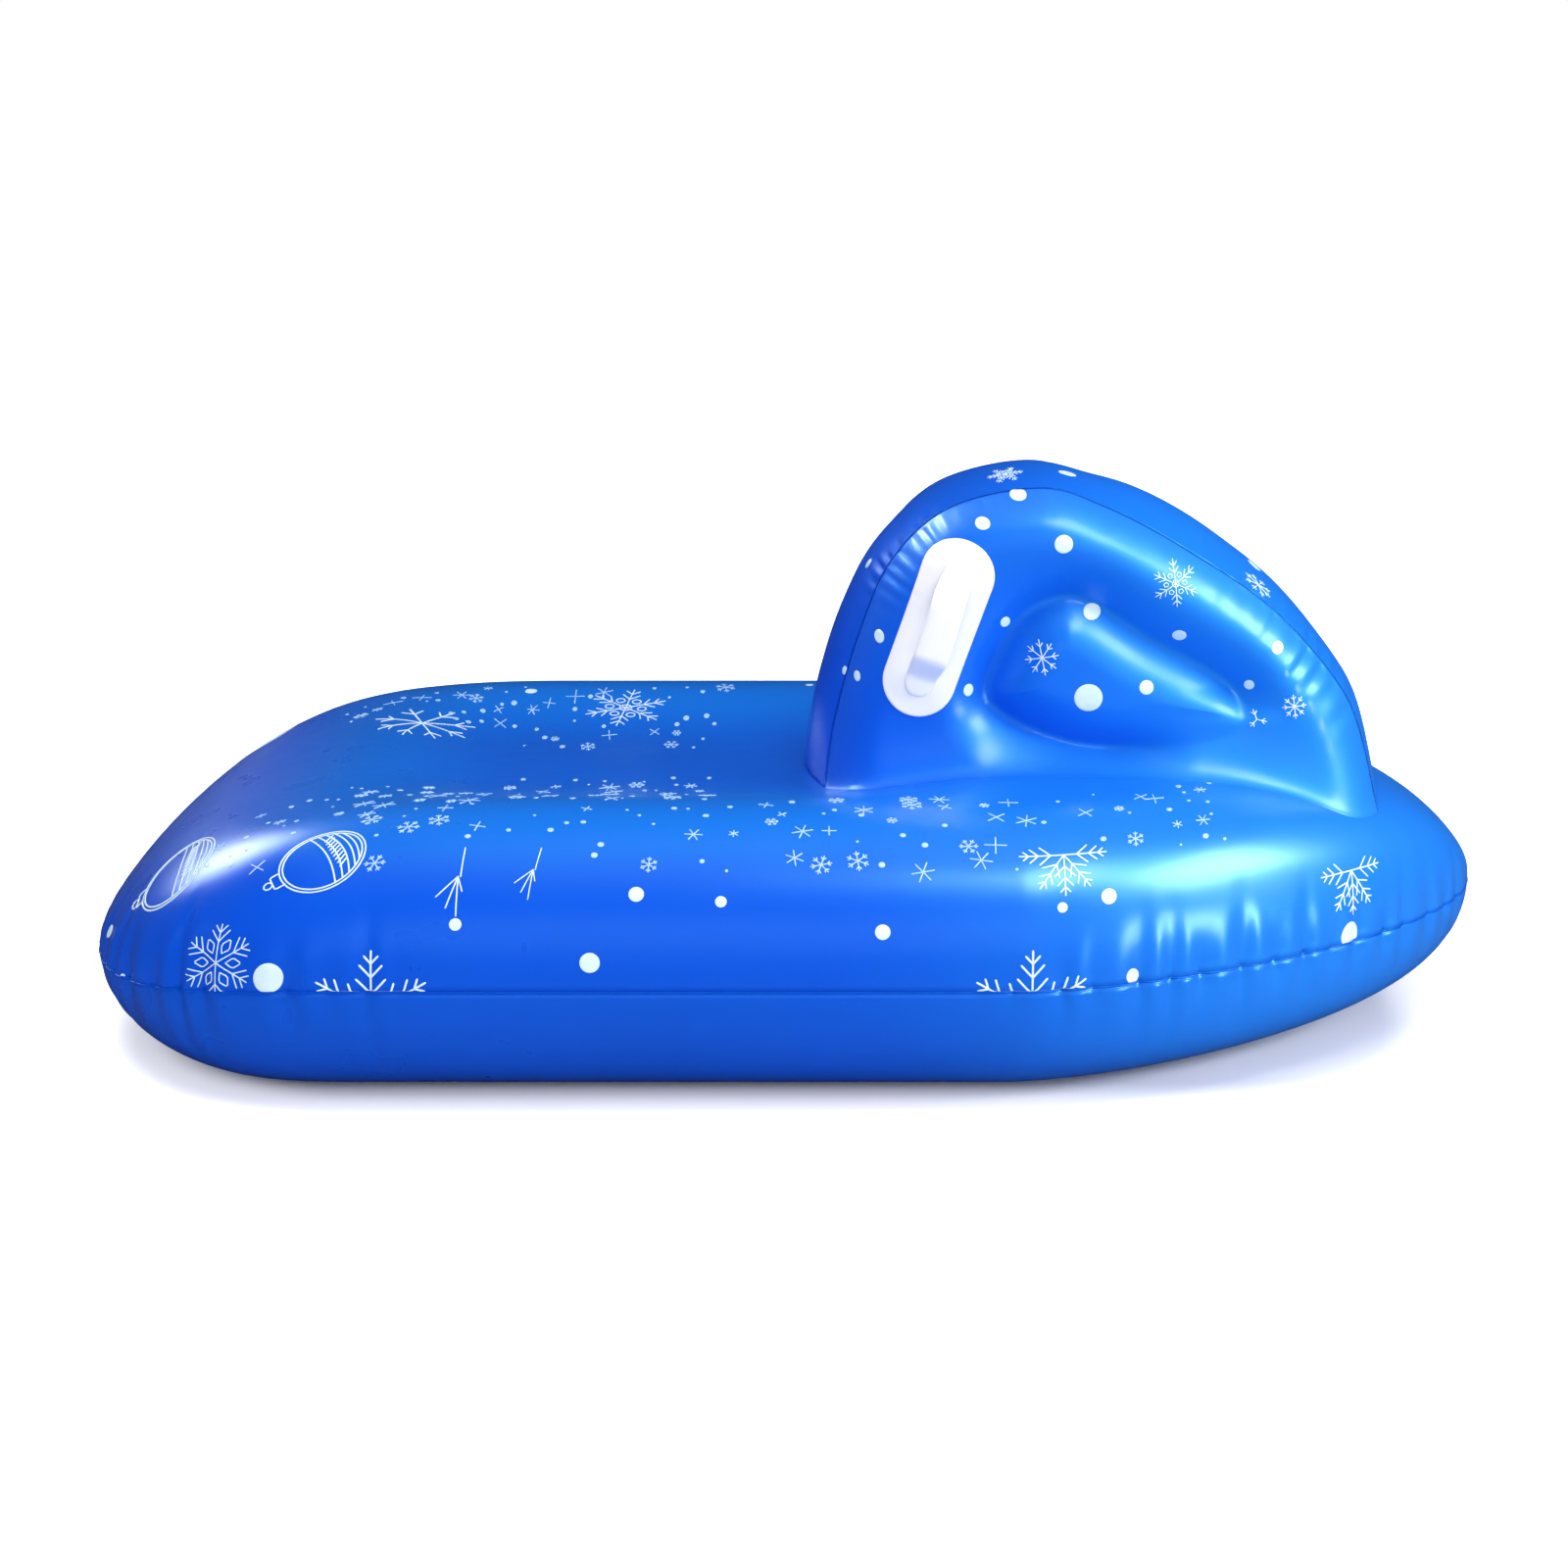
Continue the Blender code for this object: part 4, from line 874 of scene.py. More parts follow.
def base_grid(height, up, wall_rows, inner_rows):
    """Both halves of one base sheet as a ring grid from the seam to the spine.

    Each column starts on the outline and runs towards the spine. Its inset grows as one less
    a cosine over the wall and evenly over the rest; the height function gives its level.
    """
    s = base_columns()
    edge = at_run(FINE_OUTLINE, s)
    stops = (0.0, DISH_REAR + DISH_EASE, SLED_LENGTH - BOW_LENGTH, SLED_LENGTH)
    spine_x = np.interp(edge[:, 0], stops, (REAR_ROUND_LENGTH, stops[1], stops[2],
                                            SLED_LENGTH - SIDE_ROUND / 2))
    inward = np.stack([spine_x, 0 * spine_x], axis=1) - edge
    length = np.linalg.norm(inward, axis=1)
    direction = inward / length[:, None]
    reach = np.minimum(SIDE_ROUND * WALL_REACH, length * WALL_REACH_LIMIT)
    turn = np.linspace(0.0, math.pi / 2, wall_rows)[:, None]
    wall = reach[None] * (1 - np.cos(turn))
    rest = reach[None] + (length - reach)[None] * np.linspace(0.0, 1.0, inner_rows + 1)[1:, None]
    inset = np.vstack([wall, rest])
    place = edge[None] + direction[None] * inset[..., None]
    z = height(place[..., 0], place[..., 1])
    seam = seam_height(edge[:, 0])[None]
    z = np.maximum(z, seam) if up > 0 else np.minimum(z, seam)
    z[0] = seam
    right = np.stack([place[..., 0], -place[..., 1], z], axis=-1)
    left = right[:, -2:0:-1] * np.array((1.0, -1.0, 1.0))
    grid = np.concatenate([right, left], axis=1)
    normal = grid_normals(grid, True)
    normal *= np.sign(normal[wall_rows + UP_PROBE[0], UP_PROBE[1], 2] * up)
    climb = np.cumsum(np.linalg.norm(np.diff(grid, axis=0, prepend=grid[:1]), axis=2), axis=0)
    around, half = np.concatenate([s, s[-2:0:-1]])[None], len(s)
    fold = np.concatenate([puckers(around[:, part], climb[:, part], BASE_PUCKERS, seed)
                           for part, seed in ((slice(half), BASE_PUCKER_SEED),
                                              (slice(half, None), BASE_PUCKER_SEED + 1))], axis=1)
    outward = normal.copy()
    outward[0] = unit(outward[0] * np.array((1.0, 1.0, 0.0)))
    return grid - outward * fold[..., None], climb


def hood_place(shares):
    """Side-view place of hood shares: length and height times their shares, from the rear foot."""
    s = np.asarray(shares, float)
    return np.stack([HOOD_REAR + HOOD_LENGTH * s[..., 0],
                     HOOD_FOOT + HOOD_RISE * s[..., 1]], axis=-1)


HOOD_ARCH = hood_place(spline(HOOD_OUTLINE, SPLINE_STEPS))
PILLOW_LOOP = hood_place(spline(PILLOW_OUTLINE, SPLINE_STEPS, closed=True))
ARCH_RUN = run_of(HOOD_ARCH)[-1]


def half_band(x):
    """Half the band's width, which grows evenly with the share of the hood's length."""
    share = np.clip((x - HOOD_REAR) / HOOD_LENGTH, 0.0, 1.0)
    return (BAND_WIDTH_REAR + (BAND_WIDTH_FRONT - BAND_WIDTH_REAR) * share) / 2


def foot_flare(z):
    """Elliptic fillet: upright at the flare's height, level where it meets the deck."""
    t = np.clip(1 - (z - HOOD_FOOT) / FLARE_HEIGHT, 0.0, 1.0)
    return FOOT_FLARE * (1 - np.sqrt(1 - t ** 2))


def panel_reach(x, z):
    """Half the band's width, plus the swell from the seam, less the pull along the crease.

    The swell is one less a power of the distance left to full swell. The pull is the square of
    one less the distance from the crease over its spread, and fades at the pillow's low front.
    """
    x, z = np.broadcast_arrays(np.asarray(x, float), np.asarray(z, float))
    places = np.stack([x.ravel(), z.ravel()], axis=1)
    from_seam, along = (found.reshape(x.shape) for found in nearest_on(places, HOOD_ARCH))
    swell = 1 - (1 - np.clip(from_seam / PANEL_ROUND, 0.0, 1.0)) ** PANEL_ROUND_POWER
    to_crease = nearest_on(places, PILLOW_LOOP)[0].reshape(x.shape)
    to_crease = np.sqrt(to_crease ** 2 + CREASE_SOFT ** 2) - CREASE_SOFT
    spread = np.where(inside(places, PILLOW_LOOP).reshape(x.shape), CREASE_INSIDE, CREASE_OUTSIDE)
    pull = np.clip(1 - to_crease / spread, 0.0, 1.0) ** 2
    (x0, x1), (z0, z1) = PILLOW_FADE
    share_x = (x - HOOD_REAR) / HOOD_LENGTH
    share_z = (z - HOOD_FOOT) / HOOD_RISE
    fade = smooth((share_x - x0) / (x1 - x0)) * smooth((share_z - z0) / (z1 - z0))
    pull = pull * (1 - CREASE_FADE * fade)
    folds = hood_folds(along, from_seam)
    return half_band(x) + swell * PANEL_BULGE + foot_flare(z) - CREASE_DEPTH * pull - folds


def hood_folds(along, away):
    """Depth of the hood's puckers, easing in from nothing on the seam itself."""
    return (puckers(along, away, HOOD_PUCKERS, HOOD_PUCKER_SEED)
            * smooth(away / HOOD_PUCKER_START))


def fit_to_deck(x, y, z):
    """Height shifted on to the deck at the foot, by the square of what is left of the blend."""
    rise = np.clip((z - HOOD_FOOT) / FOOT_BLEND, 0.0, 1.0)
    return z + (deck_height(x, y) - FOOT_SINK - HOOD_FOOT) * (1 - rise) ** 2


def panel_surface(x, z, side, out=0.0):
    """Points of a hood panel at side-view places, moved out along the normal by differences."""
    def plain(px, pz):
        y = panel_reach(px, pz)
        return np.stack([px + 0 * y, side * y, fit_to_deck(px, y, pz)], axis=-1)

    here = plain(x, z)
    if np.all(np.asarray(out) == 0.0):
        return here
    step = NORMAL_STEP
    normal = unit(np.cross(plain(x + step, z) - plain(x - step, z),
                           plain(x, z + step) - plain(x, z - step)))
    normal *= np.sign(normal[..., 1:2] * side)
    return here + normal * np.asarray(out)[..., None]


def hood_panel_grid(side):
    """Rings of a hood panel, shrinking from its edge to the middle line of the pillow."""
    arch = even_spacing(HOOD_ARCH, PANEL_EDGE_STEPS[0])
    foot = even_spacing(np.array([arch[-1], arch[0]]), PANEL_EDGE_STEPS[1])[1:-1]
    edge = np.vstack([arch, foot])
    core = hood_place(PILLOW_CORE)
    along = core[1] - core[0]
    t = np.clip(((edge - core[0]) @ along) / (along @ along), 0.0, 1.0)
    t = np.round(t * CORE_STEPS) / CORE_STEPS
    heart = core[0] + along * t[:, None]
    share = np.linspace(0.0, 1.0, PANEL_ROWS)[:, None] ** PANEL_ROW_POWER
    x = edge[None, :, 0] + (heart - edge)[None, :, 0] * share
    z = edge[None, :, 1] + (heart - edge)[None, :, 1] * share
    return panel_surface(x, z, side)


def band_grid(across):
    """The hood's band: its arch moved outward by the bulge times one less the square across."""
    arch = even_spacing(HOOD_ARCH, BAND_COLUMNS)
    tangent = unit(np.gradient(arch, axis=0))
    outward = np.stack([-tangent[:, 1], tangent[:, 0]], axis=1)
    shares = np.array(BAND_BULGE_SHARES)
    soft = spline(np.stack([np.linspace(0.0, 1.0, len(shares)), shares], axis=1), BULGE_STEPS)
    share = np.linspace(0.0, 1.0, len(arch))
    bulge = BAND_BULGE * np.interp(share, soft[:, 0], soft[:, 1])
    w = np.linspace(-1.0, 1.0, across)[:, None]
    edge_gap = (1 - np.abs(w)) * half_band(arch[:, 0])[None]
    out = bulge[None] * (1 - w ** 2) - hood_folds((share * ARCH_RUN)[None], edge_gap)
    place = arch[None] + outward[None] * out[..., None]
    place[:, (0, -1), 1] = HOOD_FOOT
    y = w * half_band(arch[:, 0])[None] + foot_flare(arch[:, 1])[None] * w ** 3
    return np.stack([place[..., 0], y, fit_to_deck(place[..., 0], y, place[..., 1])], axis=-1)


def seam_path(side):
    """Line of the weld between the band and one hood panel."""
    arch = even_spacing(HOOD_ARCH, BAND_COLUMNS)
    y = half_band(arch[:, 0]) + foot_flare(arch[:, 1])
    z = fit_to_deck(arch[:, 0], y, arch[:, 1])
    return np.stack([arch[:, 0], side * y, z], axis=1)


def handle_place(along, across):
    """Side-view place of a point along and across the tilted handle."""
    tilt = math.radians(HANDLE_TILT_DEG)
    x = HANDLE_X + along * math.sin(tilt) + across * math.cos(tilt)
    z = HANDLE_Z + along * math.cos(tilt) - across * math.sin(tilt)
    return x, z


def put(tree, node, inputs):
    """Set a node's inputs to values, or link them to sockets of other nodes."""
    for key, value in inputs.items():
        if isinstance(value, bpy.types.NodeSocket):
            tree.links.new(value, node.inputs[key])
        else:
            node.inputs[key].default_value = value


def add_node(tree, kind, inputs=None, **settings):
    """A new node's outputs, after its settings are made and its inputs are set or linked."""
    node = tree.nodes.new("ShaderNode" + kind)
    for key, value in settings.items():
        setattr(node, key, value)
    put(tree, node, inputs or {})
    return node.outputs


def new_material(name):
    """A material with its shader node, and a function that adds a node to it."""
    material = bpy.data.materials.new(name)
    material.use_nodes = True
    tree = material.node_tree
    return material, tree.nodes["Principled BSDF"], partial(add_node, tree)


def shade(colour, share):
    """A deeper tint of a colour: a share of each of its parts."""
    return tuple(share * c for c in colour)


def vinyl_material(name, colour, deep, roughness, grain, sheen=(1.0, 1.0, 1.0)):
    """Glossy film: faint wrinkles and a fine grain in the bump, and two close tints by soft noise.

    Where there is no deeper tint, the colour is the same all over.
    """
    material, shader, node = new_material(name)
    place = node("TexCoord")["Object"]

    def noise(scale, detail):
        return node("TexNoise", {"Vector": place, "Scale": scale, "Detail": detail})["Fac"]

    wide, fine = noise(*WRINKLE_NOISE), noise(*GRAIN_NOISE)
    base = (*colour, 1.0)
    if deep is not None:
        base = node("Mix", {"Factor": noise(*TINT_NOISE), "A": (*deep, 1.0), "B": base},
                    data_type="RGBA")["Result"]
    rough = node("MapRange", {"Value": wide, "To Min": roughness * (1 - ROUGHNESS_SPREAD),
                              "To Max": roughness * (1 + ROUGHNESS_SPREAD)})
    ripple = node("Bump", {"Height": wide, "Strength": WRINKLE_BUMP[0],
                           "Distance": WRINKLE_BUMP[1]})
    skin = node("Bump", {"Height": fine, "Strength": grain, "Distance": GRAIN_DEPTH,
                         "Normal": ripple["Normal"]})
    put(material.node_tree, shader, {
        "Base Color": base, "Roughness": rough["Result"], "Normal": skin["Normal"],
        "Specular Tint": (*sheen, 1.0)})
    return material, shader


def graded_film(name, colours, colour, deep, deck, gloss):
    """Vinyl film with painted light: painted paler with height over the deck and again along the
    bow.

    The share of the deck's painted light grows smoothly with height, that of the bow's with length.
    """
    roughness, coat, specular = gloss
    material, shader = vinyl_material(name, colour, deep, roughness, FILM_GRAIN, colours.sheen)
    tree = material.node_tree
    node = partial(add_node, tree)
    side, rough = (shader.inputs[key].links[0].from_socket for key in ("Base Color", "Roughness"))
    parts = node("SeparateXYZ", {"Vector": node("TexCoord")["Object"]})
    # Painted light: the colour is mixed towards the paler deck and bow blues, by height and by
    # length
    for axis, (start, end), tint in (("Z", DECK_PAINTED_LIGHT_RISE, deck), ("X", BOW_PAINTED_LIGHT_RUN, colours.bow)):
        share = node("MapRange", {"Value": parts[axis], "From Min": start, "From Max": end},
                     interpolation_type="SMOOTHSTEP")["Result"]
        side = node("Mix", {"Factor": share, "A": side, "B": (*tint, 1.0)},
                    data_type="RGBA")["Result"]
    duller = node("MapRange", {
        "Value": parts["X"], "From Min": DULL_RUN[0], "From Max": DULL_RUN[1],
        "To Min": DULL_SHARES[0], "To Max": DULL_SHARES[1]})["Result"]
    put(tree, shader, {
        "Base Color": side, "Coat Weight": coat, "Coat Roughness": COAT_ROUGHNESS,
        "Roughness": node("Math", {0: duller, 1: rough}, operation="MULTIPLY")["Value"],
        "Specular IOR Level": specular})
    return material


def colour_setting(name, description, default):
    """A colour in the panel."""
    return FloatVectorProperty(name=name, description=description, subtype="COLOR",
                               default=default, min=0.0, max=1.0)


class SledColours(PropertyGroup):
    """Colours of the sled's films, ink, handles and valves."""

    film: colour_setting("Printed film", "Blue of the top sheet and hood", (0.002, 0.086, 0.720))
    film_deep: colour_setting("Printed film, deep", "Its deeper tint", (0.0015, 0.074, 0.680))
    bottom: colour_setting("Bottom film", "Blue of the plain bottom sheet", (0.003, 0.092, 0.740))
    # Painted light: the deck's top is painted this paler blue, standing in for light falling on it
    deck: colour_setting("Deck tint", "Paler blue of the base's top", (0.005, 0.165, 0.740))
    # Painted light: the films are painted this paler blue along the bow, standing in for light
    # falling on the bow
    bow: colour_setting("Bow tint", "Paler blue of the films at the bow", (0.010, 0.190, 0.800))
    sheen: colour_setting("Film sheen", "Tint of the films' reflections", (0.06, 0.80, 1.0))
    seam: colour_setting("Weld", "Dark blue of the weld beads", (0.003, 0.075, 0.620))
    # Painted shade: the hood's beads are painted darker than the base's, standing for the shade in
    # the crease between band and panel
    hood_seam_painted_shade: colour_setting("Hood weld", "Darker blue of the hood's beads", (0.002, 0.030, 0.340))
    ink: colour_setting("Ink", "White of the printed pattern", (0.72, 0.92, 1.0))
    pale_ink: colour_setting("Pale ink", "Light blue of the small flecks", (0.42, 0.68, 0.96))
    handle: colour_setting("Handle", "White of patches and grips", (0.93, 0.93, 0.96))
    valve: colour_setting("Valve", "Milky vinyl of the valves", (0.66, 0.76, 0.85))


class SledFinish(PropertyGroup):
    """Size of small trim: the radius of the weld beads."""

    bead_radius: FloatProperty(name="Weld bead", description="Radius of the weld beads",
                               default=0.0006, min=0.0002, max=0.005, unit="LENGTH")


class SLED_OT_base(Operator):
    """Make the base's two sheets and the weld bead between them."""

    bl_idname = "sled.base"
    bl_label = "Base"

    def execute(self, context):
        colours, finish = context.scene.sled_colours, context.scene.sled_finish
        bottom = colours.bottom
        # Painted light: both films are painted paler along the bow, the top one also over the deck
        top_film = graded_film("base_film_skin", colours, colours.film, colours.film_deep,
                               colours.deck, BASE_GLOSS)
        low_film = graded_film("bottom_film_skin", colours, bottom, shade(bottom, BOTTOM_SHADE),
                               bottom, BASE_GLOSS)
        centre = (0.0, 0.0, SEAM_HEIGHT)
        grid, _ = base_grid(deck_height, 1, *TOP_ROWS)
        add_sheet("base_top_skin", grid, True, top_film, "base_top_panel", centre)
        low_grid, _ = base_grid(keel_height, -1, *LOW_ROWS)
        add_sheet("base_bottom_skin", low_grid, True, low_film,
                  "base_bottom_panel", centre)
        bead, _ = vinyl_material("base_weld", colours.seam, None, *WELD_FINISH, colours.sheen)
        add_piece("base_weld_bead", tube("base_weld_bead", grid[0], finish.bead_radius, True),
                  bead, "sled")
        return {"FINISHED"}


class SLED_OT_hood(Operator):
    """Make the hood's side panels, its band and the beads along its two seams."""

    bl_idname = "sled.hood"
    bl_label = "Hood"

    def execute(self, context):
        colours, finish = context.scene.sled_colours, context.scene.sled_finish
        tints = (colours.film, colours.film_deep, colours.film)
        # Painted light: the hood's films are painted paler along the bow
        film = graded_film("hood_film_skin", colours, *tints, PANEL_GLOSS)
        band_film = graded_film("band_film_skin", colours, *tints, BAND_GLOSS)
        # Painted shade: the hood's weld material is darker, standing for the shade along its seams
        bead, _ = vinyl_material("hood_weld_painted_shade", colours.hood_seam_painted_shade, None, *WELD_FINISH,
                                 colours.sheen)
        centre = (HOOD_REAR + HOOD_LENGTH / 2 - SLED_LENGTH / 2, 0.0, HOOD_FOOT + HOOD_HEART_RISE)
        for word, side in SIDES:
            add_sheet("hood_skin_" + word, hood_panel_grid(side), True, film,
                      "hood_panel_" + word, centre)
            name = "hood_weld_bead_" + word
            add_piece(name, tube(name, seam_path(side), finish.bead_radius, False), bead,
                      "sled")
        add_sheet("hood_band_skin", band_grid(BAND_ROWS), False, band_film,
                  "hood_band", centre)
        return {"FINISHED"}


def stadium(length, width, count):
    """Outline of a bar with round ends, as (along, across) points evenly spaced."""
    straight = (length - width) / 2
    turn = np.linspace(-math.pi / 2, math.pi / 2, END_STEPS)
    end = np.stack([straight + np.cos(turn) * width / 2, np.sin(turn) * width / 2], axis=1)
    return even_spacing(np.vstack([end, -end, end[:1]]), count + 1)[:-1]


def handle_patch_grid(side):
    """Closed rings of the patch: its stadium outline shrunk to a line, over and under."""
    edge = stadium(PATCH_LENGTH, PATCH_WIDTH, PATCH_STEPS)
    straight = (PATCH_LENGTH - PATCH_WIDTH) / 2
    middle = np.stack([np.clip(edge[:, 0], -straight, straight), 0 * edge[:, 0]], axis=1)
    place = middle[None] + (edge - middle)[None] * np.array(PATCH_SHARES)[:, None, None]
    x, z = handle_place(place[..., 0], place[..., 1])
    return panel_surface(x, z, side, (np.array(PATCH_LEVELS) * PATCH_THICK)[:, None] + 0 * x)


def grip_lift(along):
    """Zero at both pads, easing up to the full lift over the fingers."""
    run = GRIP_LENGTH / 2 - GRIP_PAD - GRIP_TOP_RUN / 2
    return GRIP_LIFT * smooth((GRIP_LENGTH / 2 - GRIP_PAD - np.abs(along)) / run)


def grip_grid(side):
    """Rounded flat section carried along the grip; the ends shrink to a point."""
    rows, columns = GRIP_STEPS
    along = GRIP_LENGTH / 2 * np.sin(np.linspace(-math.pi / 2, math.pi / 2, rows))
    turn = np.linspace(0.0, 2 * math.pi, columns, endpoint=False)
    across, through = (
        size / 2 * np.sign(wave) * np.abs(wave) ** power for size, wave, power in
        zip((GRIP_WIDTH, GRIP_THICK), (np.cos(turn), np.sin(turn)), GRIP_SECTION_POWERS))
    end = (1 - np.abs(along / (GRIP_LENGTH / 2)) ** GRIP_END_POWERS[0]) ** (1 / GRIP_END_POWERS[1])
    x, z = handle_place(along[:, None] + 0 * across[None], end[:, None] * across[None])
    level = PATCH_THICK + GRIP_THICK * GRIP_SINK_SHARE + grip_lift(along)
    return panel_surface(x, z, side, level[:, None] + end[:, None] * through[None])


class SLED_OT_handles(Operator):
    """Make the oval patches and the raised grips on both sides of the hood."""

    bl_idname = "sled.handles"
    bl_label = "Handles"

    def execute(self, context):
        colour = context.scene.sled_colours.handle
        white, _ = vinyl_material("handle_skin", colour, shade(colour, HANDLE_SHADE),
                                  *HANDLE_FINISH)
        for word, side in SIDES:
            for part, grid in (("handle_patch", handle_patch_grid(side)),
                               ("handle_grip", grip_grid(side))):
                name = f"{part}_skin_{word}"
                mesh = grid_mesh(name, grid)
                close_normals(mesh)
                add_piece(name, mesh, white, "sled", (f"{part}_{word}",))
        return {"FINISHED"}


class SLED_OT_prints(Operator):
    """Print the dots, snowflakes, baubles and flecks on the base and the hood."""

    bl_idname = "sled.prints"
    bl_label = "Prints"

    def execute(self, context):
        colours = context.scene.sled_colours
        white = ink_material("white_ink", colours.ink)
        pale = ink_material("pale_ink", colours.pale_ink)
        grid, climb = base_grid(deck_height, 1, *TOP_ROWS)
        walls = wall_tables(grid, climb)
        taken = self.print_sheets("base_print", walls, WALL_MIRROR_CLIMB, BASE_DOTS_PX,
                                  BASE_FLAKES_PX, BAUBLES_PX, white)
        flecks = Ink()
        for k, sheet in enumerate(walls):
            scatter_flecks(flecks, sheet, FLECK_SEED + k, FLECK_SPANS[k],
                           [(place, reach) for owner, place, reach in taken if owner is sheet])
        flecks.piece("base_fleck_print", pale)
        panels = [panel_table(-1.0), panel_table(1.0)]
        self.print_sheets("hood_print", panels, math.inf, HOOD_DOTS_PX, HOOD_FLAKES_PX, (), white)
        band = band_table(band_grid(BAND_ROWS))
        self.print_sheets("hood_band_print", [band], 0.0, BAND_DOTS_PX, BAND_FLAKES_PX, (), white)
        return {"FINISHED"}

    def print_sheets(self, name, sheets, mirror_below, dots, flakes, baubles, material):
        """One print over a pair of like sheets: what lies low enough is mirrored to the far one."""
        ink, taken = Ink(), []
        for across, down, size in dots:
            for sheet, place, metres in self.spots(sheets, mirror_below, across, down):
                ink.dot(sheet, place, size * metres / 2)
                taken.append((sheet, place, size * metres / 2))
        marks = [(px, py, size, [turned(line, turn) for line in flake(kind)])
                 for px, py, size, turn, kind in flakes]
        marks += [(px, py, size, bauble(turn)) for px, py, size, turn in baubles]
        for across, down, size, lines in marks:
            for sheet, place, metres in self.spots(sheets, mirror_below, across, down):
                width = max(size * metres * INK_LINE_SHARE, INK_LINE_LEAST)
                taken.append((sheet, place, size * metres * MARK_REACH))
                for line in lines:
                    ink.stroke(sheet, place, line * size * metres, width)
        ink.piece(name, material)
        return taken

    def spots(self, sheets, mirror_below, across, down):
        """Where a mark goes: its own place, and its mirror image if that lies low and free."""
        sheet, place, metres = spot_on(sheets, across, down)
        found = [(sheet, place, metres)]
        mirrored = sheet is sheets[0] and place[1] < mirror_below
        if mirrored and not beside_valve(sheets[1], place):
            found.append((sheets[1], place, metres))
        return found


def beside_valve(sheet, place):
    """Whether a place on a tabled sheet lies under the base valve's ring or close to it."""
    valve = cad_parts["base_valve_ring"]
    centre = np.mean([valve.matrix_world @ Vector(corner) for corner in valve.bound_box], axis=0)
    point = on_table(sheet, *place, 0.0) - np.array((SLED_LENGTH / 2, 0.0, 0.0))
    return np.linalg.norm(point - centre) < VALVE_CLEARANCE


def scatter_flecks(ink, sheet, seed, span, taken):
    """Snowfall on a jittered lattice over the base's shoulder: small dots and bare crystals."""
    rng = np.random.default_rng(seed)
    for run in np.arange(*FLECK_RUN, FLECK_STEP):
        for climb in np.arange(*span, FLECK_STEP):
            place = (np.array((run, climb))
                     + rng.uniform(-FLECK_JITTER, FLECK_JITTER, 2) * FLECK_STEP)
            kind, turn = int(rng.integers(FLECK_KINDS)), rng.uniform(0.0, 360.0)
            size, kept = rng.uniform(*FLECK_SIZE), rng.uniform() < FLECK_KEEP
            deck, front = FLECK_STRETCH_CLIMB, FLECK_STRETCH_RUN
            stretch = 1.0 + (FLECK_DECK_STRETCH * smooth((place[1] - deck[0]) / deck[1])
                             * smooth((run - front[0]) / front[1]))
            clear = run < FLECK_HOOD_RUN or place[1] < FLECK_HOOD_CLIMB
            for centre, reach in taken:
                clear = clear and np.hypot(*(place - centre)) > reach + FLECK_CLEARANCE
            if not (kept and clear) or np.min(stretch_at(sheet, place)) < FLECK_LEAST_SPREAD:
                continue
            if kind > 2:
                ink.dot(sheet, place, size * FLECK_DOT_SHARE, stretch)
                continue
            for line in fleck(kind):
                line = turned(line, turn) * (1.0, stretch) * size
                ink.stroke(sheet, place, line, INK_LINE_LEAST * FLECK_WEIGHT)


def ink_material(name, colour):
    """Opaque ink with a faint mottle, a little duller than the film under it."""
    material, shader, node = new_material(name)
    mottle = node("TexNoise", {"Vector": node("TexCoord")["Object"], "Scale": MOTTLE_SCALE})["Fac"]
    tint = node("Mix", {"Factor": mottle, "A": (*shade(colour, INK_SHADE), 1.0),
                        "B": (*colour, 1.0)}, data_type="RGBA")["Result"]
    put(material.node_tree, shader, {"Base Color": tint, "Roughness": INK_ROUGHNESS})
    return material


class SLED_OT_valves(Operator):
    """Give the valves and the inner strips their finishes."""

    bl_idname = "sled.valves"
    bl_label = "Valves and inner strips"

    def execute(self, context):
        colour = context.scene.sled_colours.valve
        milky, shader = vinyl_material("valve_skin", colour, shade(colour, VALVE_SHADE),
                                       *VALVE_FINISH)
        shader.inputs["Transmission Weight"].default_value = VALVE_CLEARNESS
        inner, _ = vinyl_material("inner_strip_skin", *STRIP_COLOURS, *STRIP_FINISH)
        for name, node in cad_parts.items():
            if "valve" in name or "baffle" in name:
                node.data.materials.clear()
                node.data.materials.append(milky if "valve" in name else inner)
        return {"FINISHED"}


def area_lamp(name, place, target, size, power, lights, mirrored, spread=180.0):
    """Rectangular lamp at a place, facing a target, that lights or is only mirrored, or both."""
    data = bpy.data.lights.new(name, "AREA")
    data.shape = "RECTANGLE"
    data.size, data.size_y = size
    data.energy = power
    data.spread = math.radians(spread)
    lamp = bpy.data.objects.new(name, data)
    bpy.context.scene.collection.objects.link(lamp)
    lamp.location = place
    lamp.rotation_euler = (Vector(target) - Vector(place)).to_track_quat("-Z", "Y").to_euler()
    lamp.visible_camera = False
    lamp.visible_diffuse = lights
    lamp.visible_glossy = mirrored


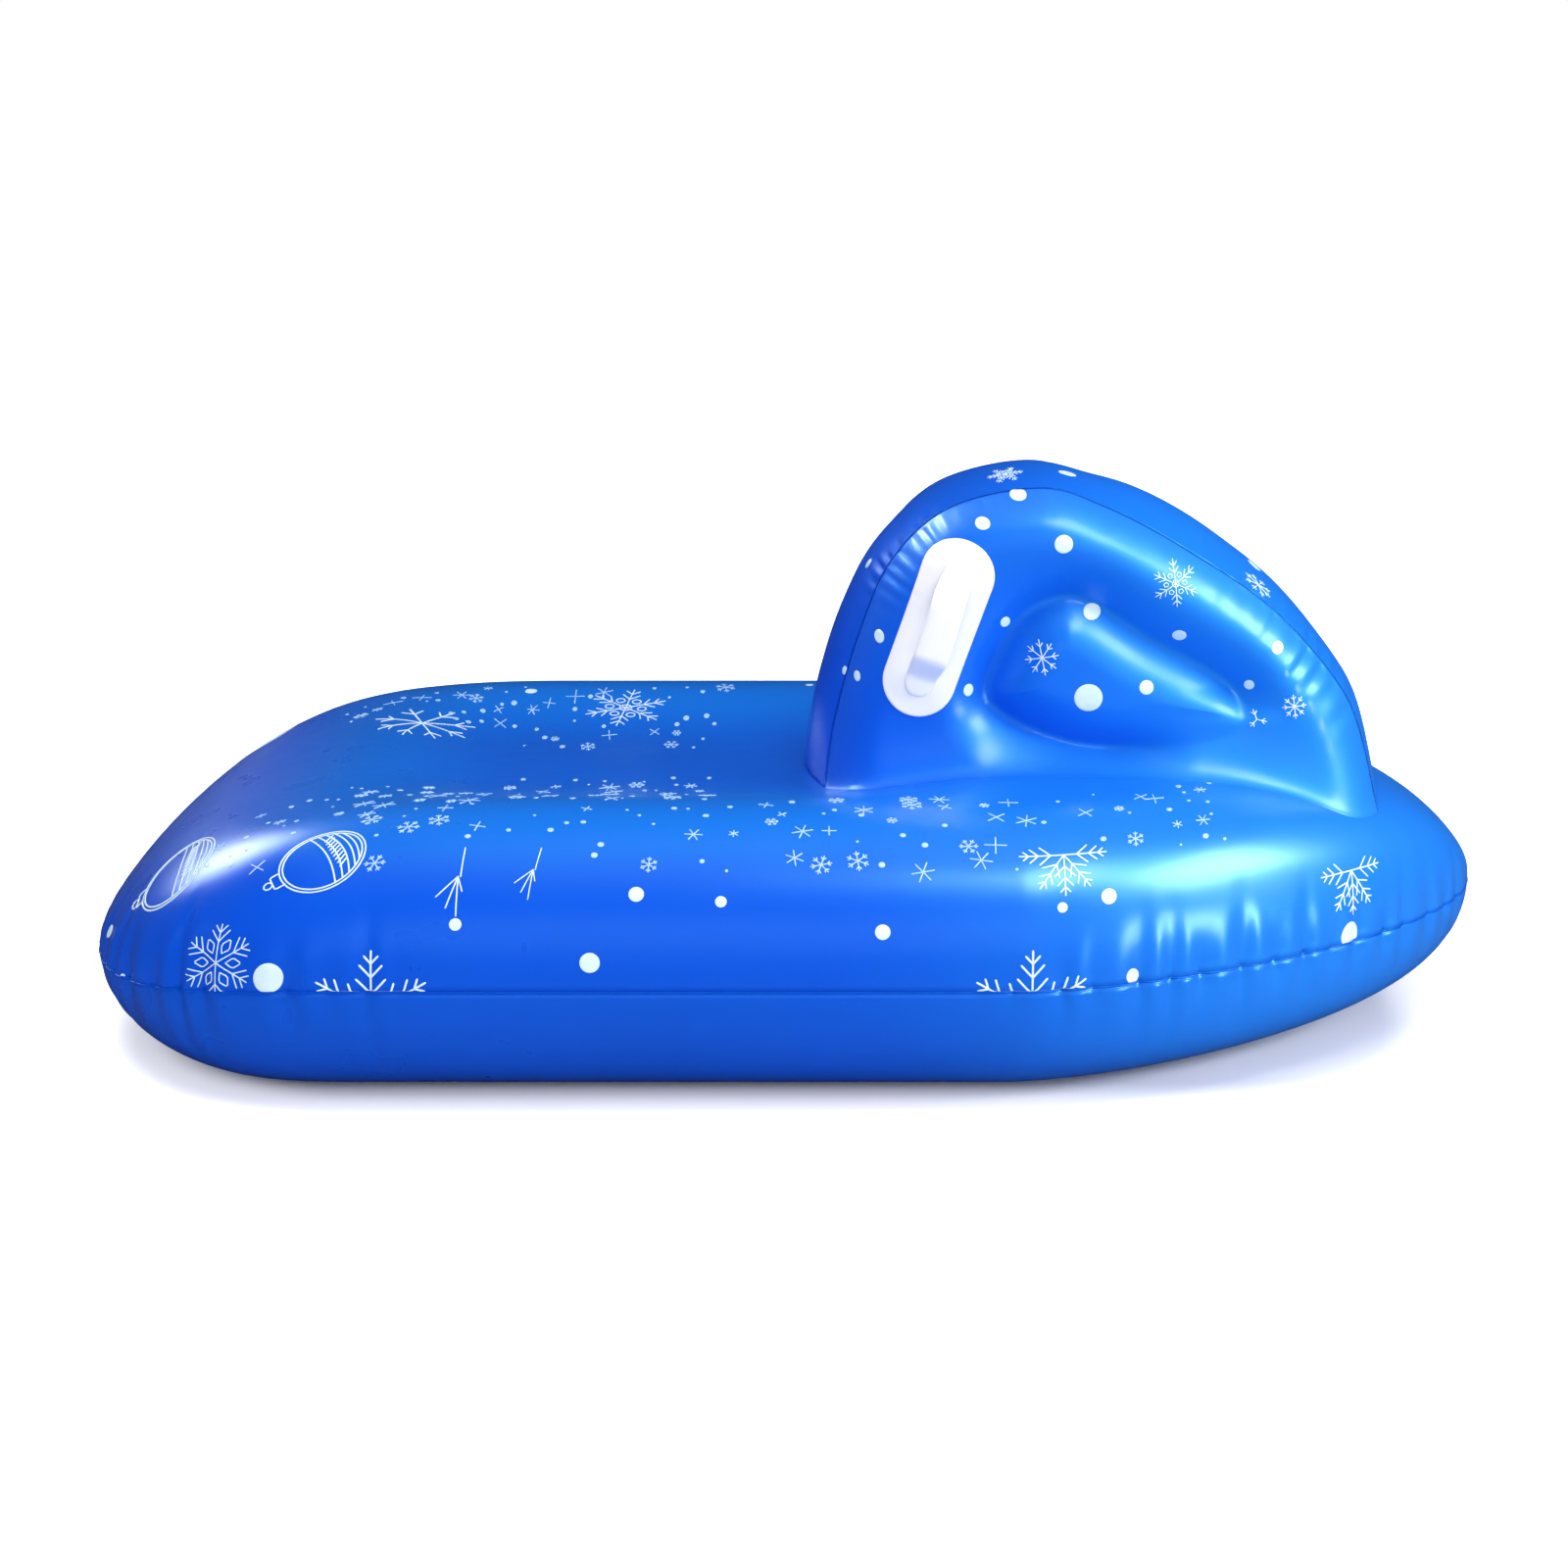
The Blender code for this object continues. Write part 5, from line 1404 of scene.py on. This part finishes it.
def floor_material():
    """White floor: lit near the sled, so that it takes the shadow, and glowing farther off.

    The distance outside a rectangle under the sled sets the glow, by a ramp of its own.
    """
    material, shader, node = new_material("floor_white")
    tree = material.node_tree
    place = node("VectorMath", {0: node("TexCoord")["Object"]}, operation="ABSOLUTE")["Vector"]
    for operation, other in (("SUBTRACT", (*FLOOR_CORE, 0.0)), ("MAXIMUM", (0.0, 0.0, 0.0))):
        place = node("VectorMath", {0: place, 1: other}, operation=operation)["Vector"]
    outside = node("VectorMath", {0: place}, operation="LENGTH")["Value"]
    glow = node("ValToRGB", {"Fac": outside})["Color"]
    ramp = glow.node.color_ramp
    ramp.interpolation = "EASE"
    for _ in FLOOR_GLOW[2:]:
        ramp.elements.new(1.0)
    for element, (radius, level) in zip(ramp.elements, FLOOR_GLOW):
        element.position = radius
        element.color = (level, level, level, 1.0)
    path = node("LightPath")
    seen = node("Math", {0: glow, 1: path["Is Camera Ray"]}, operation="MULTIPLY")["Value"]
    share = node("Mix", {"Factor": path["Is Camera Ray"], "A": FLOOR_BOUNCE, "B": 1.0})["Result"]
    matt = node("Mix", {"Factor": path["Is Glossy Ray"], "A": share, "B": FLOOR_GLOSS})["Result"]
    tint = node("Mix", {"Factor": matt, "A": (0.0, 0.0, 0.0, 1.0), "B": (*FLOOR_COLOUR, 1.0)},
                data_type="RGBA")["Result"]
    put(tree, shader, {"Base Color": tint, "Roughness": FLOOR_ROUGHNESS,
                       "Specular IOR Level": 0.0})
    both = node("AddShader", {0: shader.outputs["BSDF"],
                              1: node("Emission", {"Strength": seen})["Emission"]})["Shader"]
    put(tree, tree.nodes["Material Output"], {"Surface": both})
    return material


def studio_world():
    """White to the camera and through clear vinyl, soft fill elsewhere, almost dark in gloss."""
    world = bpy.data.worlds.new("studio")
    world.use_nodes = True
    tree = world.node_tree
    node = partial(add_node, tree)
    path = node("LightPath")
    direct = node("Math", {0: path["Is Camera Ray"], 1: path["Is Transmission Ray"]},
                  operation="MAXIMUM")["Value"]
    filled = node("MapRange", {"Value": direct, "To Min": WORLD_FILL, "To Max": 1.0})["Result"]
    level = node("Mix", {"Factor": path["Is Glossy Ray"], "A": filled, "B": WORLD_IN_GLOSS})
    put(tree, tree.nodes["Background"], {"Color": (1.0, 1.0, 1.0, 1.0),
                                         "Strength": level["Result"]})
    return world


class SLED_OT_stage(Operator):
    """Make the floor, the lamps, the world and the camera."""

    bl_idname = "sled.stage"
    bl_label = "Stage"

    def execute(self, context):
        scene = context.scene
        scene.view_settings.view_transform = "Standard"
        data = bpy.data.cameras.new("camera")
        data.lens = CAMERA_LENS
        data.sensor_width = SENSOR
        data.shift_x, data.shift_y = CAMERA_SHIFT
        camera = bpy.data.objects.new("camera", data)
        scene.collection.objects.link(camera)
        camera.location = CAMERA_PLACE
        camera.rotation_euler = (math.pi / 2 - CAMERA_DOWN, 0.0, 0.0)
        scene.camera = camera
        half = FLOOR_HALF
        mesh = bpy.data.meshes.new("floor")
        mesh.from_pydata([(-half, -half, 0), (half, -half, 0), (half, half, 0), (-half, half, 0)],
                         [], [(0, 1, 2, 3)])
        floor = bpy.data.objects.new("floor", mesh)
        scene.collection.objects.link(floor)
        mesh.materials.append(floor_material())
        scene.world = studio_world()
        for lamp in LAMPS:
            area_lamp(*lamp)
        return {"FINISHED"}


class SLED_PT_panel(Panel):
    """Lists the sled's operators."""

    bl_idname = "SLED_PT_panel"
    bl_label = "Inflatable sled"
    bl_space_type = "VIEW_3D"
    bl_region_type = "UI"
    bl_category = "Sled"

    def draw(self, context):
        for owner in (context.scene.sled_colours, context.scene.sled_finish):
            for key in owner.bl_rna.properties.keys():
                if key not in {"rna_type", "name"}:
                    self.layout.prop(owner, key)
        for step in STEPS:
            self.layout.operator(step.bl_idname)


STEPS = (SLED_OT_stage, SLED_OT_base, SLED_OT_hood, SLED_OT_handles, SLED_OT_prints,
         SLED_OT_valves)
CLASSES = (SledColours, SledFinish, *STEPS, SLED_PT_panel)


def register():
    for cls in CLASSES:
        bpy.utils.register_class(cls)
    bpy.types.Scene.sled_colours = PointerProperty(type=SledColours)
    bpy.types.Scene.sled_finish = PointerProperty(type=SledFinish)


def unregister():
    del bpy.types.Scene.sled_finish
    del bpy.types.Scene.sled_colours
    for cls in reversed(CLASSES):
        bpy.utils.unregister_class(cls)


def main():
    register()
    for step in STEPS:
        group, word = step.bl_idname.split(".")
        getattr(getattr(bpy.ops, group), word)()


if __name__ == "__main__":
    main()
